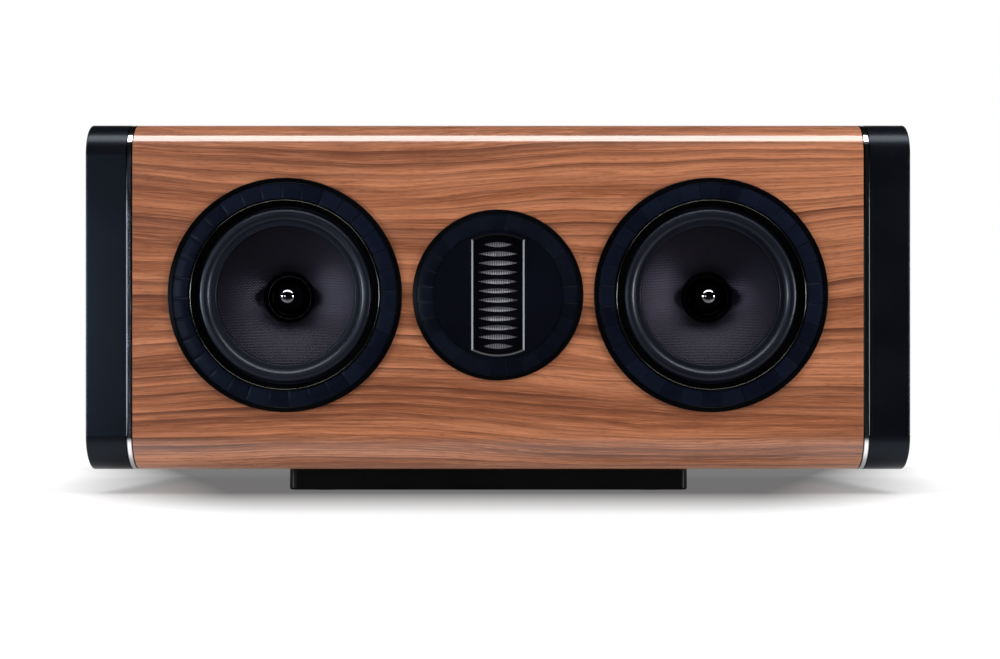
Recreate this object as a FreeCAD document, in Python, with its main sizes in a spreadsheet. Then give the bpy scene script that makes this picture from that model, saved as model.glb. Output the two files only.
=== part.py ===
import FreeCAD
import Part
import Sketcher
import math
import os
import re

# Centre channel loudspeaker: two cone woofers beside a pleated-film tweeter in a wood cabinet.
# +X is to the right of a listener facing the front, +Y runs to the back and +Z is up.
# The origin is on the floor, under the middle of the cabinet with its driver rings.

SIZES = {
    # Cabinet
    "cabinet_width": 570,
    "cabinet_height": 242,
    "cabinet_depth": 300,
    "front_radius": 24,
    "rear_radius": 10,
    "baffle_thickness": 25,
    "wall_thickness": 18,
    "back_thickness": 18,
    "rear_flange": 3,
    "cheek_thickness": 28,
    "cheek_edge_radius": 1.5,
    "trim_width": 4.6,
    "trim_depth": 5,
    "trim_edge_radius": 0.9,
    "spigot_depth": 10,
    "fit_clearance": 0.3,
    "brace_offset": 68,
    "brace_thickness": 15,
    "brace_border": 30,
    "brace_window_radius": 18,
    "lining_thickness": 20,
    "lining_margin": 8,
    # Plinth and feet
    "plinth_width": 288,
    "plinth_depth": 210,
    "plinth_height": 16,
    "plinth_setback": 50,
    "plinth_shift": 7,
    "plinth_corner_radius": 6,
    "plinth_edge_radius": 1.5,
    "foot_radius": 12,
    "foot_thickness": 2.4,
    "foot_proud": 0.8,
    "foot_inset": 26,
    "plinth_screw_inset": 60,
    "plinth_screw_length": 22,
    "plinth_screw_sink": 8,
    # Screws
    "screw_radius": 2,
    "screw_head_radius": 3,
    "screw_head_height": 2.6,
    "screw_hole_clearance": 0.2,
    # Woofer motor
    "woofer_offset": 147,
    "pole_radius": 14.5,
    "coil_gap": 0.4,
    "former_wall": 0.3,
    "former_tail": 0.5,
    "winding_wall": 0.8,
    "winding_length": 12,
    "top_plate_thickness": 6,
    "top_plate_radius": 40,
    "magnet_thickness": 16,
    "magnet_radius": 45,
    "magnet_gap": 8,
    "yoke_thickness": 6,
    # Woofer cone and surround
    "cone_width": 36.3,
    "cone_depth": 21,
    "cone_wall": 0.9,
    "cone_flare_radius": 110,
    "neck_height": 1.6,
    "glue_width": 3.2,
    "roll_width": 9.4,
    "roll_fullness": 1.03,
    "surround_wall": 1,
    "landing_width": 6.5,
    "landing_depth": 4,
    # Woofer basket and spider
    "flange_rim": 6.6,
    "flange_thickness": 6,
    "gasket_thickness": 1,
    "basket_lip": 1,
    "basket_wall": 3,
    "basket_depth": 44,
    "basket_window_count": 6,
    "basket_window_angle": 42,
    "basket_window_margin": 1.5,
    "basket_screw_count": 4,
    "basket_screw_turn": 45,
    "basket_screw_length": 18,
    "hub_thickness": 3,
    "hub_clearance": 4,
    "shelf_depth": 34,
    "shelf_width": 6,
    "spider_width": 27,
    "spider_collar": 3,
    "spider_wall": 0.6,
    "spider_wave": 1.6,
    "spider_half_wave_count": 8,
    # Woofer plug
    "plug_clearance": 0.9,
    "plug_shoulder": 27,
    "plug_side_radius": 80,
    "plug_nose_width": 5.5,
    "plug_nose_radius": 7,
    "plug_tip": 8,
    # Driver rings
    "ring_proud": 3,
    "ring_lip": 0.6,
    "bevel_width": 3.2,
    "bevel_height": 3.8,
    "bead_width": 1.6,
    "tile_width": 11.4,
    "tile_recess": 0.6,
    "tile_count": 32,
    "left_tile_turn": 2,
    "right_tile_turn": 6.2,
    "rim_width": 3.2,
    "rim_drop": 0.6,
    "rim_edge": 1,
    "rim_arc_radius": 4,
    "groove_width": 0.7,
    "groove_depth": 0.5,
    "groove_end": 0.3,
    # Tweeter
    "tweeter_tile_inner": 44.6,
    "tweeter_tile_width": 11.6,
    "tweeter_tile_count": 28,
    "tweeter_rim_width": 2.8,
    "tweeter_hole_clearance": 0.5,
    "boss_depth": 2,
    "boss_border": 0.8,
    "window_width": 35,
    "window_arc_radius": 41.5,
    "window_corner_radius": 1.6,
    "window_edge_radius": 1.4,
    "motor_border": 3.5,
    "pole_plate_thickness": 3,
    "slot_count": 12,
    "slot_pitch": 6.4,
    "slot_width": 27.4,
    "slot_height": 3.6,
    "end_slot_width": 20.2,
    "pleat_count": 17,
    "pleat_pitch": 1.6,
    "pleat_depth": 4,
    "fold_wall": 0.8,
    "film_height": 78,
    "film_gap": 1,
    "film_frame_wall": 2,
    "film_frame_thickness": 7,
    "tweeter_magnet_length": 72,
    "cup_wall": 2,
    "cup_depth": 36,
    # Reflex ports
    "port_offset": 147,
    "port_bore": 25,
    "port_wall": 3,
    "port_flare": 11,
    "port_flange_width": 8,
    "port_length": 105,
    # Terminals
    "terminal_width": 104,
    "terminal_height": 66,
    "terminal_recess": 30,
    "terminal_wall": 2.5,
    "terminal_flange": 10,
    "terminal_corner_radius": 8,
    "post_spacing": 36,
    "stem_radius": 3,
    "stem_length": 22,
    "stem_tail": 12,
    "socket_radius": 2,
    "socket_depth": 17,
    "collar_radius": 7,
    "collar_height": 3,
    "washer_radius": 6.6,
    "washer_thickness": 1.2,
    "thread_clearance": 0.15,
    "cap_radius": 7.5,
    "cap_length": 19,
    "cap_edge": 1,
    "flute_count": 12,
    "flute_radius": 1.6,
    "flute_depth": 0.8,
    "nut_radius": 5.5,
    "nut_height": 4,
    # Crossover
    "board_length": 100,
    "board_width": 84,
    "board_thickness": 2,
    "choke_radius": 18,
    "choke_bore": 8,
    "choke_height": 16,
    "choke_spacing": 46,
    "choke_setback": 18,
    "capacitor_radius": 8,
    "capacitor_length": 32,
    "capacitor_spacing": 20,
    "capacitor_advance": 18,
}

# Places that several pieces share, as formulas of the sizes
SHELL_LENGTH = "(cabinet_width - 2 * (cheek_thickness + trim_width))"
FRONT = "((ring_proud - cabinet_depth) / 2)"
REAR = "((cabinet_depth + ring_proud) / 2)"
BACK_FACE = f"({REAR} - rear_flange)"
BASE = "(plinth_height + foot_proud)"
TOP = f"({BASE} + cabinet_height)"
MIDDLE = f"({BASE} + cabinet_height / 2)"
ROOM_FRONT = f"({FRONT} + baffle_thickness)"
ROOM_REAR = f"({BACK_FACE} - back_thickness)"
ROOM_FLOOR = f"({BASE} + wall_thickness)"
ROOM_CEILING = f"({TOP} - wall_thickness)"

# Woofer radii, from the pole outwards
FORMER_BORE = "(pole_radius + coil_gap)"
NECK = f"({FORMER_BORE} + former_wall)"
WINDING = f"({NECK} + winding_wall)"
PLATE_BORE = f"({WINDING} + coil_gap)"
HUB_BORE = f"({WINDING} + hub_clearance)"
SPIDER_RIM = f"({NECK} + spider_width)"
SHELF_INNER = f"({SPIDER_RIM} - shelf_width)"
CONE_RIM = f"({NECK} + cone_width)"
ROLL_OUTER = f"({CONE_RIM} + roll_width)"
BASKET_BORE = f"({ROLL_OUTER} - basket_lip)"
BASKET_OUTER = f"({BASKET_BORE} + basket_wall)"
LANDING = f"({ROLL_OUTER} + landing_width)"
FLANGE = f"({LANDING} + flange_rim)"
SCREW_CIRCLE = f"({LANDING} + flange_rim / 2)"
RING_BORE = f"({ROLL_OUTER} + ring_lip)"
BEAD_INNER = f"({RING_BORE} + bevel_width)"
TILE_INNER = f"({BEAD_INNER} + bead_width)"
TILE_OUTER = f"({TILE_INNER} + tile_width)"
RING_OUTER = f"({TILE_OUTER} + rim_width)"

# Woofer depths, behind the baffle's face
NECK_DEPTH = "(landing_depth + cone_depth)"
WINDING_MIDDLE = "(basket_depth + top_plate_thickness / 2)"
MAGNET_FRONT = "(basket_depth + top_plate_thickness)"
YOKE_FRONT = f"({MAGNET_FRONT} + magnet_thickness)"

# Tweeter radii and depths
TWEETER_TILE_OUTER = "(tweeter_tile_inner + tweeter_tile_width)"
PLATE_RADIUS = f"({TWEETER_TILE_OUTER} + tweeter_rim_width)"
MOTOR_ARC = "(window_arc_radius + motor_border)"
MOTOR_HALF = "(window_width / 2 + motor_border)"
CUP_BORE = f"({MOTOR_ARC} + fit_clearance)"
CUP_RADIUS = f"({CUP_BORE} + cup_wall)"
BOSS_RADIUS = f"({CUP_RADIUS} + boss_border)"
FILM_HALF = "(pleat_count * pleat_pitch / 2)"
FILM_FRAME_FRONT = "(boss_depth + pole_plate_thickness)"
REAR_POLE_FRONT = f"({FILM_FRAME_FRONT} + film_frame_thickness)"
MAGNET_INNER = f"({FILM_HALF} + film_frame_wall + fit_clearance)"

# Terminal heights, outwards from the cabinet's back plane
POST_FLOOR = "(-terminal_recess)"
COLLAR_TOP = f"({POST_FLOOR} + collar_height)"
WASHER_TOP = f"({COLLAR_TOP} + washer_thickness)"
STEM_TIP = f"({POST_FLOOR} + stem_length)"
CAP_BORE = "(stem_radius + thread_clearance)"
PORT_COLLAR = "(port_bore + port_flare)"

ARC = "arc"
LEFT = -1
RIGHT = 1
SIDES = {"left": LEFT, "right": RIGHT}
CLOCKWISE = -1
COUNTERCLOCKWISE = 1
TINY = 1e-4
UPRIGHT = FreeCAD.Rotation()
FACING_FRONT = FreeCAD.Rotation(FreeCAD.Vector(1, 0, 0), 90)
FACING_BACK = FreeCAD.Rotation(FreeCAD.Vector(0, 1, 1), 180)

document = FreeCAD.newDocument("centre_speaker")
sheet = document.addObject("Spreadsheet::Sheet", "Sizes")
pieces = []


def fill_sheet():
    """Write every driving size into the sheet as a plain number under its own name."""
    for row, (name, number) in enumerate(SIZES.items(), start=1):
        sheet.set(f"A{row}", name)
        sheet.set(f"B{row}", str(number))
        sheet.setAlias(f"B{row}", name)
    document.recompute()


def formula(text):
    """Point each size that a formula names at its cell."""
    return re.sub(r"[a-z_]+", lambda word: ("Sizes." if word[0] in SIZES else "") + word[0], str(text))


def value(text):
    """Work out a formula with the sheet's present numbers."""
    return float(sheet.evalExpression(formula(text)))


def bind(item, name, text):
    """Tie a property to a formula of the sizes."""
    item.setExpression(name, formula(text))


def place(item, x, y, z, turn=UPRIGHT):
    """Put a piece at a place given by formulas, turned to face where it faces."""
    item.Placement = FreeCAD.Placement(FreeCAD.Vector(value(x), value(y), value(z)), turn)
    for axis, text in zip("xyz", (x, y, z)):
        bind(item, f"Placement.Base.{axis}", text)


def keep(item, label):
    """Name a finished piece and list it for writing."""
    item.Label = label
    pieces.append(item)
    return item


def new_body(label):
    """Start the body of one piece."""
    return keep(document.addObject("PartDesign::Body", label), label)


def origin_feature(body, role):
    """Find one of the planes or axes of a body's own origin."""
    return next(item for item in body.Origin.OriginFeatures if item.Role == role)


def new_sketch(body, plane="XY_Plane", height="0", turn="0"):
    """Start a sketch on one of a body's planes, raised along its normal and turned about it."""
    sketch = body.newObject("Sketcher::SketchObject", f"{body.Label}_sketch")
    sketch.AttachmentSupport = [(origin_feature(body, plane), "")]
    sketch.MapMode = "FlatFace"
    raised = FreeCAD.Vector(0, 0, value(height))
    turned = FreeCAD.Rotation(FreeCAD.Vector(0, 0, 1), value(turn))
    sketch.AttachmentOffset = FreeCAD.Placement(raised, turned)
    bind(sketch, "AttachmentOffset.Base.z", height)
    if turn != "0":
        bind(sketch, "AttachmentOffset.Rotation.Angle", turn)
    return sketch


def pin(sketch, geometry, point, x, y):
    """Hold a point of a sketch at a place given by formulas."""
    for kind, text in (("DistanceX", x), ("DistanceY", y)):
        index = sketch.addConstraint(Sketcher.Constraint(kind, -1, 1, geometry, point, value(text)))
        bind(sketch, f"Constraints[{index}]", text)


def hold_radius(sketch, geometry, radius):
    """Hold the radius of an arc or a circle to a formula."""
    index = sketch.addConstraint(Sketcher.Constraint("Radius", geometry, value(radius)))
    bind(sketch, f"Constraints[{index}]", radius)


def arc_between(start, end, radius, turn):
    """Make the shorter arc of a radius from one point to another, either way round."""
    chord = end - start
    rise = math.sqrt(radius ** 2 - (chord.Length / 2) ** 2)
    across = FreeCAD.Vector(-chord.y, chord.x, 0).normalize()
    centre = (start + end) / 2 + across * rise * turn
    first, last = (start, end) if turn == COUNTERCLOCKWISE else (end, start)
    angles = [math.atan2(point.y - centre.y, point.x - centre.x) for point in (first, last)]
    return Part.ArcOfCircle(Part.Circle(centre, FreeCAD.Vector(0, 0, 1), radius), *angles)


def draw(sketch, outline):
    """Draw a closed outline of corners, with an arc where one is named between two corners."""
    corners = []
    arcs = {}
    for item in outline:
        if item[0] == ARC:
            arcs[len(corners) - 1] = item[1:]
        else:
            corners.append(item)
    points = [FreeCAD.Vector(value(x), value(y), 0) for x, y in corners]
    edges = []
    for index, start in enumerate(points):
        end = points[(index + 1) % len(points)]
        if index in arcs:
            radius, turn = arcs[index]
            geometry = sketch.addGeometry(arc_between(start, end, value(radius), turn))
            hold_radius(sketch, geometry, radius)
            edges.append((geometry, 1, 2) if turn == COUNTERCLOCKWISE else (geometry, 2, 1))
        else:
            edges.append((sketch.addGeometry(Part.LineSegment(start, end)), 1, 2))
    for index, (geometry, first, last) in enumerate(edges):
        following, following_first, _ = edges[(index + 1) % len(edges)]
        sketch.addConstraint(Sketcher.Constraint("Coincident", geometry, last, following, following_first))
        pin(sketch, geometry, first, *corners[index])


def draw_circle(sketch, x, y, radius):
    """Draw a circle about a place given by formulas."""
    circle = Part.Circle(FreeCAD.Vector(value(x), value(y), 0), FreeCAD.Vector(0, 0, 1), value(radius))
    geometry = sketch.addGeometry(circle)
    pin(sketch, geometry, 3, x, y)
    hold_radius(sketch, geometry, radius)


def rectangle(left, bottom, right, top):
    """List the corners of an upright rectangle."""
    return [(left, bottom), (right, bottom), (right, top), (left, top)]


def rounded_rectangle(left, bottom, right, top, radius):
    """List the corners and corner arcs of an upright rectangle with round corners."""
    turn = (ARC, radius, COUNTERCLOCKWISE)
    return [
        (f"{left} + {radius}", bottom),
        (f"{right} - {radius}", bottom), turn,
        (right, f"{bottom} + {radius}"),
        (right, f"{top} - {radius}"), turn,
        (f"{right} - {radius}", top),
        (f"{left} + {radius}", top), turn,
        (left, f"{top} - {radius}"),
        (left, f"{bottom} + {radius}"), turn,
    ]


def pad(body, sketch, length, reverse=False, both_ways=False):
    """Raise a sketch into a solid."""
    feature = body.newObject("PartDesign::Pad", f"{body.Label}_pad")
    feature.Profile = sketch
    feature.Reversed = reverse
    feature.SideType = "Symmetric" if both_ways else "One side"
    bind(feature, "Length", length)
    return feature


def pocket(body, sketch, depth, reverse=False):
    """Cut a sketch into a solid, against the sketch's normal unless reversed."""
    feature = body.newObject("PartDesign::Pocket", f"{body.Label}_pocket")
    feature.Profile = sketch
    feature.Reversed = reverse
    bind(feature, "Length", depth)
    return feature


def turn_piece(label, outline):
    """Turn an outline of radii and heights about its own upright axis."""
    body = new_body(label)
    sketch = new_sketch(body, "XZ_Plane")
    draw(sketch, outline)
    feature = body.newObject("PartDesign::Revolution", f"{label}_turn")
    feature.Profile = sketch
    feature.ReferenceAxis = (sketch, ["V_Axis"])
    feature.Angle = 360
    return body


def repeat_round(body, feature, count):
    """Repeat a feature evenly round a body's upright axis."""
    pattern = body.newObject("PartDesign::PolarPattern", f"{body.Label}_round")
    pattern.Originals = [feature]
    pattern.Axis = (origin_feature(body, "Z_Axis"), [""])
    pattern.Angle = 360
    bind(pattern, "Occurrences", count)
    body.Tip = pattern


def repeat_along(body, feature, axis, span, count):
    """Repeat a feature evenly along one of a body's axes."""
    pattern = body.newObject("PartDesign::LinearPattern", f"{body.Label}_row")
    pattern.Originals = [feature]
    pattern.Direction = (origin_feature(body, axis), [""])
    bind(pattern, "Length", span)
    bind(pattern, "Occurrences", count)
    body.Tip = pattern


def round_edges(body, base, chosen, radius):
    """Round the edges of a feature whose middle points are chosen."""
    document.recompute()
    names = []
    for index, edge in enumerate(base.Shape.Edges, start=1):
        middle = edge.valueAt((edge.FirstParameter + edge.LastParameter) / 2)
        if chosen(edge, middle):
            names.append(f"Edge{index}")
    feature = body.newObject("PartDesign::Fillet", f"{body.Label}_round_edge")
    feature.Base = (base, names)
    bind(feature, "Radius", radius)
    return feature


def cylinder(name, radius, height):
    """Make a plain cylinder."""
    item = document.addObject("Part::Cylinder", name)
    bind(item, "Radius", radius)
    bind(item, "Height", height)
    return item


def box(name, length, width, height):
    """Make a plain block."""
    item = document.addObject("Part::Box", name)
    bind(item, "Length", length)
    bind(item, "Width", width)
    bind(item, "Height", height)
    return item


def combine(kind, name, base, tool):
    """Cut one solid from another or join the two."""
    item = document.addObject(kind, name)
    item.Base = base
    item.Tool = tool
    return item


def group(label, members):
    """Gather like pieces into one node of separate solids."""
    item = document.addObject("Part::Compound", label)
    item.Links = members
    return keep(item, label)


# Cabinet

def cabinet_outline(inset="0"):
    """List the cabinet's end outline in Y and Z, drawn in by an inset."""
    front_turn = (ARC, f"front_radius - {inset}", COUNTERCLOCKWISE)
    rear_turn = (ARC, f"rear_radius - {inset}", COUNTERCLOCKWISE)
    return [
        (f"{FRONT} + front_radius", f"{BASE} + {inset}"),
        (f"{REAR} - rear_radius", f"{BASE} + {inset}"), rear_turn,
        (f"{REAR} - {inset}", f"{BASE} + rear_radius"),
        (f"{REAR} - {inset}", f"{TOP} - rear_radius"), rear_turn,
        (f"{REAR} - rear_radius", f"{TOP} - {inset}"),
        (f"{FRONT} + front_radius", f"{TOP} - {inset}"), front_turn,
        (f"{FRONT} + {inset}", f"{TOP} - front_radius"),
        (f"{FRONT} + {inset}", f"{BASE} + front_radius"), front_turn,
    ]


def wrap_outline():
    """List the outline of the bent wood wrap: front, top and bottom in one, open at the back."""
    front_turn = (ARC, "front_radius", COUNTERCLOCKWISE)
    rear_turn = (ARC, "rear_radius", COUNTERCLOCKWISE)
    return [
        (f"{FRONT} + front_radius", BASE),
        (f"{REAR} - rear_radius", BASE), rear_turn,
        (REAR, f"{BASE} + rear_radius"),
        (REAR, ROOM_FLOOR),
        (ROOM_FRONT, ROOM_FLOOR),
        (ROOM_FRONT, ROOM_CEILING),
        (REAR, ROOM_CEILING),
        (REAR, f"{TOP} - rear_radius"), rear_turn,
        (f"{REAR} - rear_radius", TOP),
        (f"{FRONT} + front_radius", TOP), front_turn,
        (FRONT, f"{TOP} - front_radius"),
        (FRONT, f"{BASE} + front_radius"), front_turn,
    ]


def plinth_screw_spots():
    """List where the plinth's screws stand."""
    reach_x = "(plinth_width / 2 - plinth_screw_inset)"
    reach_y = "(plinth_depth / 2 - plinth_screw_inset)"
    centre_y = f"({FRONT} + plinth_setback + plinth_depth / 2)"
    return [
        (f"{side} * {reach_x} - plinth_shift", f"{centre_y} + {end} * {reach_y}")
        for side in (LEFT, RIGHT) for end in (-1, 1)
    ]


def woofer_screw_angle(index):
    """Give the angle of one basket screw round its driver."""
    return f"((basket_screw_turn + {index} * 360 / basket_screw_count) * 1 deg)"


def woofer_screw_spots(side):
    """List where a woofer's screws stand on the front, in X and Z."""
    return [
        (
            f"{side} * woofer_offset + {SCREW_CIRCLE} * cos({woofer_screw_angle(index)})",
            f"{MIDDLE} + {SCREW_CIRCLE} * sin({woofer_screw_angle(index)})",
        )
        for index in range(int(SIZES["basket_screw_count"]))
    ]


def make_cabinet_shell():
    """Bend the wood wrap and cut its driver openings, rebates and screw holes."""
    body = new_body("cabinet_shell")
    sketch = new_sketch(body, "YZ_Plane")
    draw(sketch, wrap_outline())
    pad(body, sketch, SHELL_LENGTH, both_ways=True)
    face = f"-{FRONT}"
    openings = new_sketch(body, "XZ_Plane", face)
    rebates = new_sketch(body, "XZ_Plane", face)
    pilots = new_sketch(body, "XZ_Plane", face)
    draw_circle(openings, "0", MIDDLE, f"{BOSS_RADIUS} + tweeter_hole_clearance")
    for side in SIDES.values():
        x = f"{side} * woofer_offset"
        draw_circle(openings, x, MIDDLE, f"{BASKET_OUTER} + fit_clearance")
        draw_circle(rebates, x, MIDDLE, f"{FLANGE} + fit_clearance")
        for spot in woofer_screw_spots(side):
            draw_circle(pilots, *spot, "screw_radius")
    pocket(body, openings, "baffle_thickness")
    pocket(body, rebates, "flange_thickness + gasket_thickness")
    pocket(body, pilots, "basket_screw_length + screw_head_height")
    plinth_pilots = new_sketch(body, "XY_Plane", BASE)
    for spot in plinth_screw_spots():
        draw_circle(plinth_pilots, *spot, "screw_radius")
    depth = "plinth_screw_length + screw_head_height - (plinth_height - plinth_screw_sink)"
    pocket(body, plinth_pilots, depth, reverse=True)


def make_back_panel():
    """Cut the back panel with its openings for the terminals and the two ports."""
    body = new_body("back_panel")
    sketch = new_sketch(body, "XZ_Plane", f"-{BACK_FACE}")
    half = f"({SHELL_LENGTH} / 2)"
    draw(sketch, rectangle(f"-{half}", ROOM_FLOOR, half, ROOM_CEILING))
    opening_x = "(terminal_width / 2 + terminal_wall + fit_clearance)"
    opening_z = "(terminal_height / 2 + terminal_wall + fit_clearance)"
    radius = "(terminal_corner_radius + terminal_wall + fit_clearance)"
    draw(sketch, rounded_rectangle(
        f"-{opening_x}", f"{MIDDLE} - {opening_z}", opening_x, f"{MIDDLE} + {opening_z}", radius))
    for side in SIDES.values():
        draw_circle(sketch, f"{side} * port_offset", MIDDLE, f"{PORT_COLLAR} + fit_clearance")
    pad(body, sketch, "back_thickness")


def make_end_cheek(name, side):
    """Shape an end cheek with the step that carries its trim band and the spigot that plugs the wrap."""
    body = new_body(f"end_cheek_{name}")
    inner_face = f"{side} * ({SHELL_LENGTH} / 2 + trim_width)"
    slab = new_sketch(body, "YZ_Plane", inner_face)
    draw(slab, cabinet_outline())
    slab_pad = pad(body, slab, "cheek_thickness", reverse=side == LEFT)
    outer = value(f"{side} * cabinet_width / 2")
    round_edges(body, slab_pad, lambda edge, middle: abs(middle.x - outer) < TINY, "cheek_edge_radius")
    step = new_sketch(body, "YZ_Plane", inner_face)
    draw(step, cabinet_outline("trim_depth"))
    pad(body, step, "trim_width", reverse=side == RIGHT)
    spigot = new_sketch(body, "YZ_Plane", f"{side} * {SHELL_LENGTH} / 2")
    draw(spigot, rectangle(
        f"{ROOM_FRONT} + fit_clearance", f"{ROOM_FLOOR} + fit_clearance",
        f"{ROOM_REAR} - fit_clearance", f"{ROOM_CEILING} - fit_clearance"))
    pad(body, spigot, "spigot_depth", reverse=side == RIGHT)


def make_trim_band(name, side):
    """Close a bright metal band round the joint of wrap and cheek, with its two outer edges rounded."""
    body = new_body(f"trim_band_{name}")
    near = f"{side} * {SHELL_LENGTH} / 2"
    sketch = new_sketch(body, "YZ_Plane", near)
    draw(sketch, cabinet_outline())
    draw(sketch, cabinet_outline("trim_depth"))
    band = pad(body, sketch, "trim_width", reverse=side == LEFT)
    ends = (value(near), value(f"{near} + {side} * trim_width"))
    levels = (value(BASE), value(TOP))
    depths = (value(FRONT), value(REAR))
    bends = (value("front_radius"), value("rear_radius"))

    def on_outside(edge, middle):
        if all(abs(middle.x - end) > TINY for end in ends):
            return False
        if isinstance(edge.Curve, Part.Circle):
            return any(abs(edge.Curve.Radius - bend) < TINY for bend in bends)
        on_level = any(abs(middle.z - level) < TINY for level in levels)
        return on_level or any(abs(middle.y - depth) < TINY for depth in depths)

    round_edges(body, band, on_outside, "trim_edge_radius")


def make_brace(name, side):
    """Cut a window brace that ties front, back, top and bottom together."""
    body = new_body(f"brace_{name}")
    sketch = new_sketch(body, "YZ_Plane", f"{side} * brace_offset")
    draw(sketch, rectangle(ROOM_FRONT, ROOM_FLOOR, ROOM_REAR, ROOM_CEILING))
    draw(sketch, rounded_rectangle(
        f"({ROOM_FRONT} + brace_border)", f"({ROOM_FLOOR} + brace_border)",
        f"({ROOM_REAR} - brace_border)", f"({ROOM_CEILING} - brace_border)", "brace_window_radius"))
    pad(body, sketch, "brace_thickness", both_ways=True)


def make_lining(name, side):
    """Lay a damping pad against the inner face of an end cheek."""
    depth = f"{ROOM_REAR} - {ROOM_FRONT} - 2 * lining_margin"
    height = f"{ROOM_CEILING} - {ROOM_FLOOR} - 2 * lining_margin"
    item = keep(box(f"lining_{name}", "lining_thickness", depth, height), f"lining_{name}")
    face = f"{SHELL_LENGTH} / 2 - spigot_depth"
    x = f"-({face})" if side == LEFT else f"{face} - lining_thickness"
    place(item, x, f"{ROOM_FRONT} + lining_margin", f"{ROOM_FLOOR} + lining_margin")


def foot_spots():
    """List where the plinth's feet stand."""
    reach_x = "(plinth_width / 2 - foot_inset)"
    reach_y = "(plinth_depth / 2 - foot_inset)"
    centre_y = f"({FRONT} + plinth_setback + plinth_depth / 2)"
    return [
        (f"{side} * {reach_x} - plinth_shift", f"{centre_y} + {end} * {reach_y}")
        for side in (LEFT, RIGHT) for end in (-1, 1)
    ]


def make_plinth():
    """Shape the plinth with its rounded edges, foot recesses and sunk screw holes."""
    body = new_body("plinth")
    slab = new_sketch(body, "XY_Plane", "foot_proud")
    near = f"({FRONT} + plinth_setback)"
    draw(slab, rounded_rectangle(
        "(-plinth_width / 2 - plinth_shift)", near,
        "(plinth_width / 2 - plinth_shift)", f"({near} + plinth_depth)", "plinth_corner_radius"))
    slab_pad = pad(body, slab, "plinth_height")
    under = value("foot_proud")
    round_edges(body, slab_pad, lambda edge, middle: abs(middle.z - under) < TINY, "plinth_edge_radius")
    recesses = new_sketch(body, "XY_Plane", "foot_proud")
    sinks = new_sketch(body, "XY_Plane", "foot_proud")
    holes = new_sketch(body, "XY_Plane", "foot_proud")
    for spot in foot_spots():
        draw_circle(recesses, *spot, "foot_radius + fit_clearance")
    for spot in plinth_screw_spots():
        draw_circle(sinks, *spot, "screw_head_radius + screw_hole_clearance")
        draw_circle(holes, *spot, "screw_radius + screw_hole_clearance")
    pocket(body, recesses, "foot_thickness - foot_proud", reverse=True)
    pocket(body, sinks, "plinth_screw_sink", reverse=True)
    pocket(body, holes, "plinth_height", reverse=True)


def make_feet():
    """Make the four rubber feet."""
    feet = []
    for spot in foot_spots():
        foot = cylinder("foot", "foot_radius", "foot_thickness")
        place(foot, *spot, "0")
        feet.append(foot)
    group("plinth_feet", feet)


def screw(x, y, z, length, turn):
    """Make one screw whose head seats at a place and whose shank runs against its facing."""
    head = cylinder("screw_head", "screw_head_radius", "screw_head_height")
    shank = cylinder("screw_shank", "screw_radius", length)
    place(shank, "0", "0", f"-({length})")
    item = combine("Part::Fuse", "screw", head, shank)
    place(item, x, y, z, turn)
    return item


def make_plinth_screws():
    """Make the screws that hold the plinth to the wrap."""
    facing_down = FreeCAD.Rotation(FreeCAD.Vector(1, 0, 0), 180)
    seat = "foot_proud + plinth_screw_sink"
    length = "plinth_screw_length"
    group("plinth_screws", [screw(*spot, seat, length, facing_down) for spot in plinth_screw_spots()])


# Woofer

def mount_driver_piece(body, x):
    """Stand a driver's piece on the baffle, facing the listener."""
    place(body, x, FRONT, MIDDLE, FACING_FRONT)


def make_basket(label):
    """Cast a basket: flange, surround landing, open sloping wall, spider shelf and hub."""
    wall_foot = "(shelf_depth + basket_wall)"
    shelf_outer = f"({SPIDER_RIM} + basket_window_margin)"
    body = turn_piece(label, [
        (FLANGE, "0"),
        (FLANGE, "-flange_thickness"),
        (BASKET_OUTER, "-flange_thickness"),
        (f"{shelf_outer} + basket_wall", f"-{wall_foot}"),
        (f"{SHELF_INNER} + basket_wall", f"-{wall_foot}"),
        (f"{SHELF_INNER} + basket_wall", "-basket_depth"),
        (HUB_BORE, "-basket_depth"),
        (HUB_BORE, "hub_thickness - basket_depth"),
        (SHELF_INNER, "hub_thickness - basket_depth"),
        (SHELF_INNER, "-shelf_depth"),
        (shelf_outer, "-shelf_depth"),
        (BASKET_BORE, "-flange_thickness"),
        (BASKET_BORE, "-landing_depth"),
        (LANDING, "-landing_depth"),
        (LANDING, "0"),
    ])
    holes = new_sketch(body)
    sinks = new_sketch(body)
    angle = woofer_screw_angle(0)
    x = f"{SCREW_CIRCLE} * cos({angle})"
    y = f"{SCREW_CIRCLE} * sin({angle})"
    draw_circle(holes, x, y, "screw_radius + screw_hole_clearance")
    draw_circle(sinks, x, y, "screw_head_radius + screw_hole_clearance")
    repeat_round(body, pocket(body, holes, "flange_thickness"), "basket_screw_count")
    repeat_round(body, pocket(body, sinks, "screw_head_height"), "basket_screw_count")
    window = new_sketch(body, "XY_Plane", "-flange_thickness")
    inner = f"({shelf_outer} + basket_wall + basket_window_margin)"
    outer = f"({BASKET_BORE} - basket_window_margin)"
    half = "(basket_window_angle / 2 * 1 deg)"
    draw(window, [
        (f"{inner} * cos({half})", f"-{inner} * sin({half})"),
        (f"{outer} * cos({half})", f"-{outer} * sin({half})"), (ARC, outer, COUNTERCLOCKWISE),
        (f"{outer} * cos({half})", f"{outer} * sin({half})"),
        (f"{inner} * cos({half})", f"{inner} * sin({half})"), (ARC, inner, CLOCKWISE),
    ])
    repeat_round(body, pocket(body, window, "basket_depth"), "basket_window_count")
    return body


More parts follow.
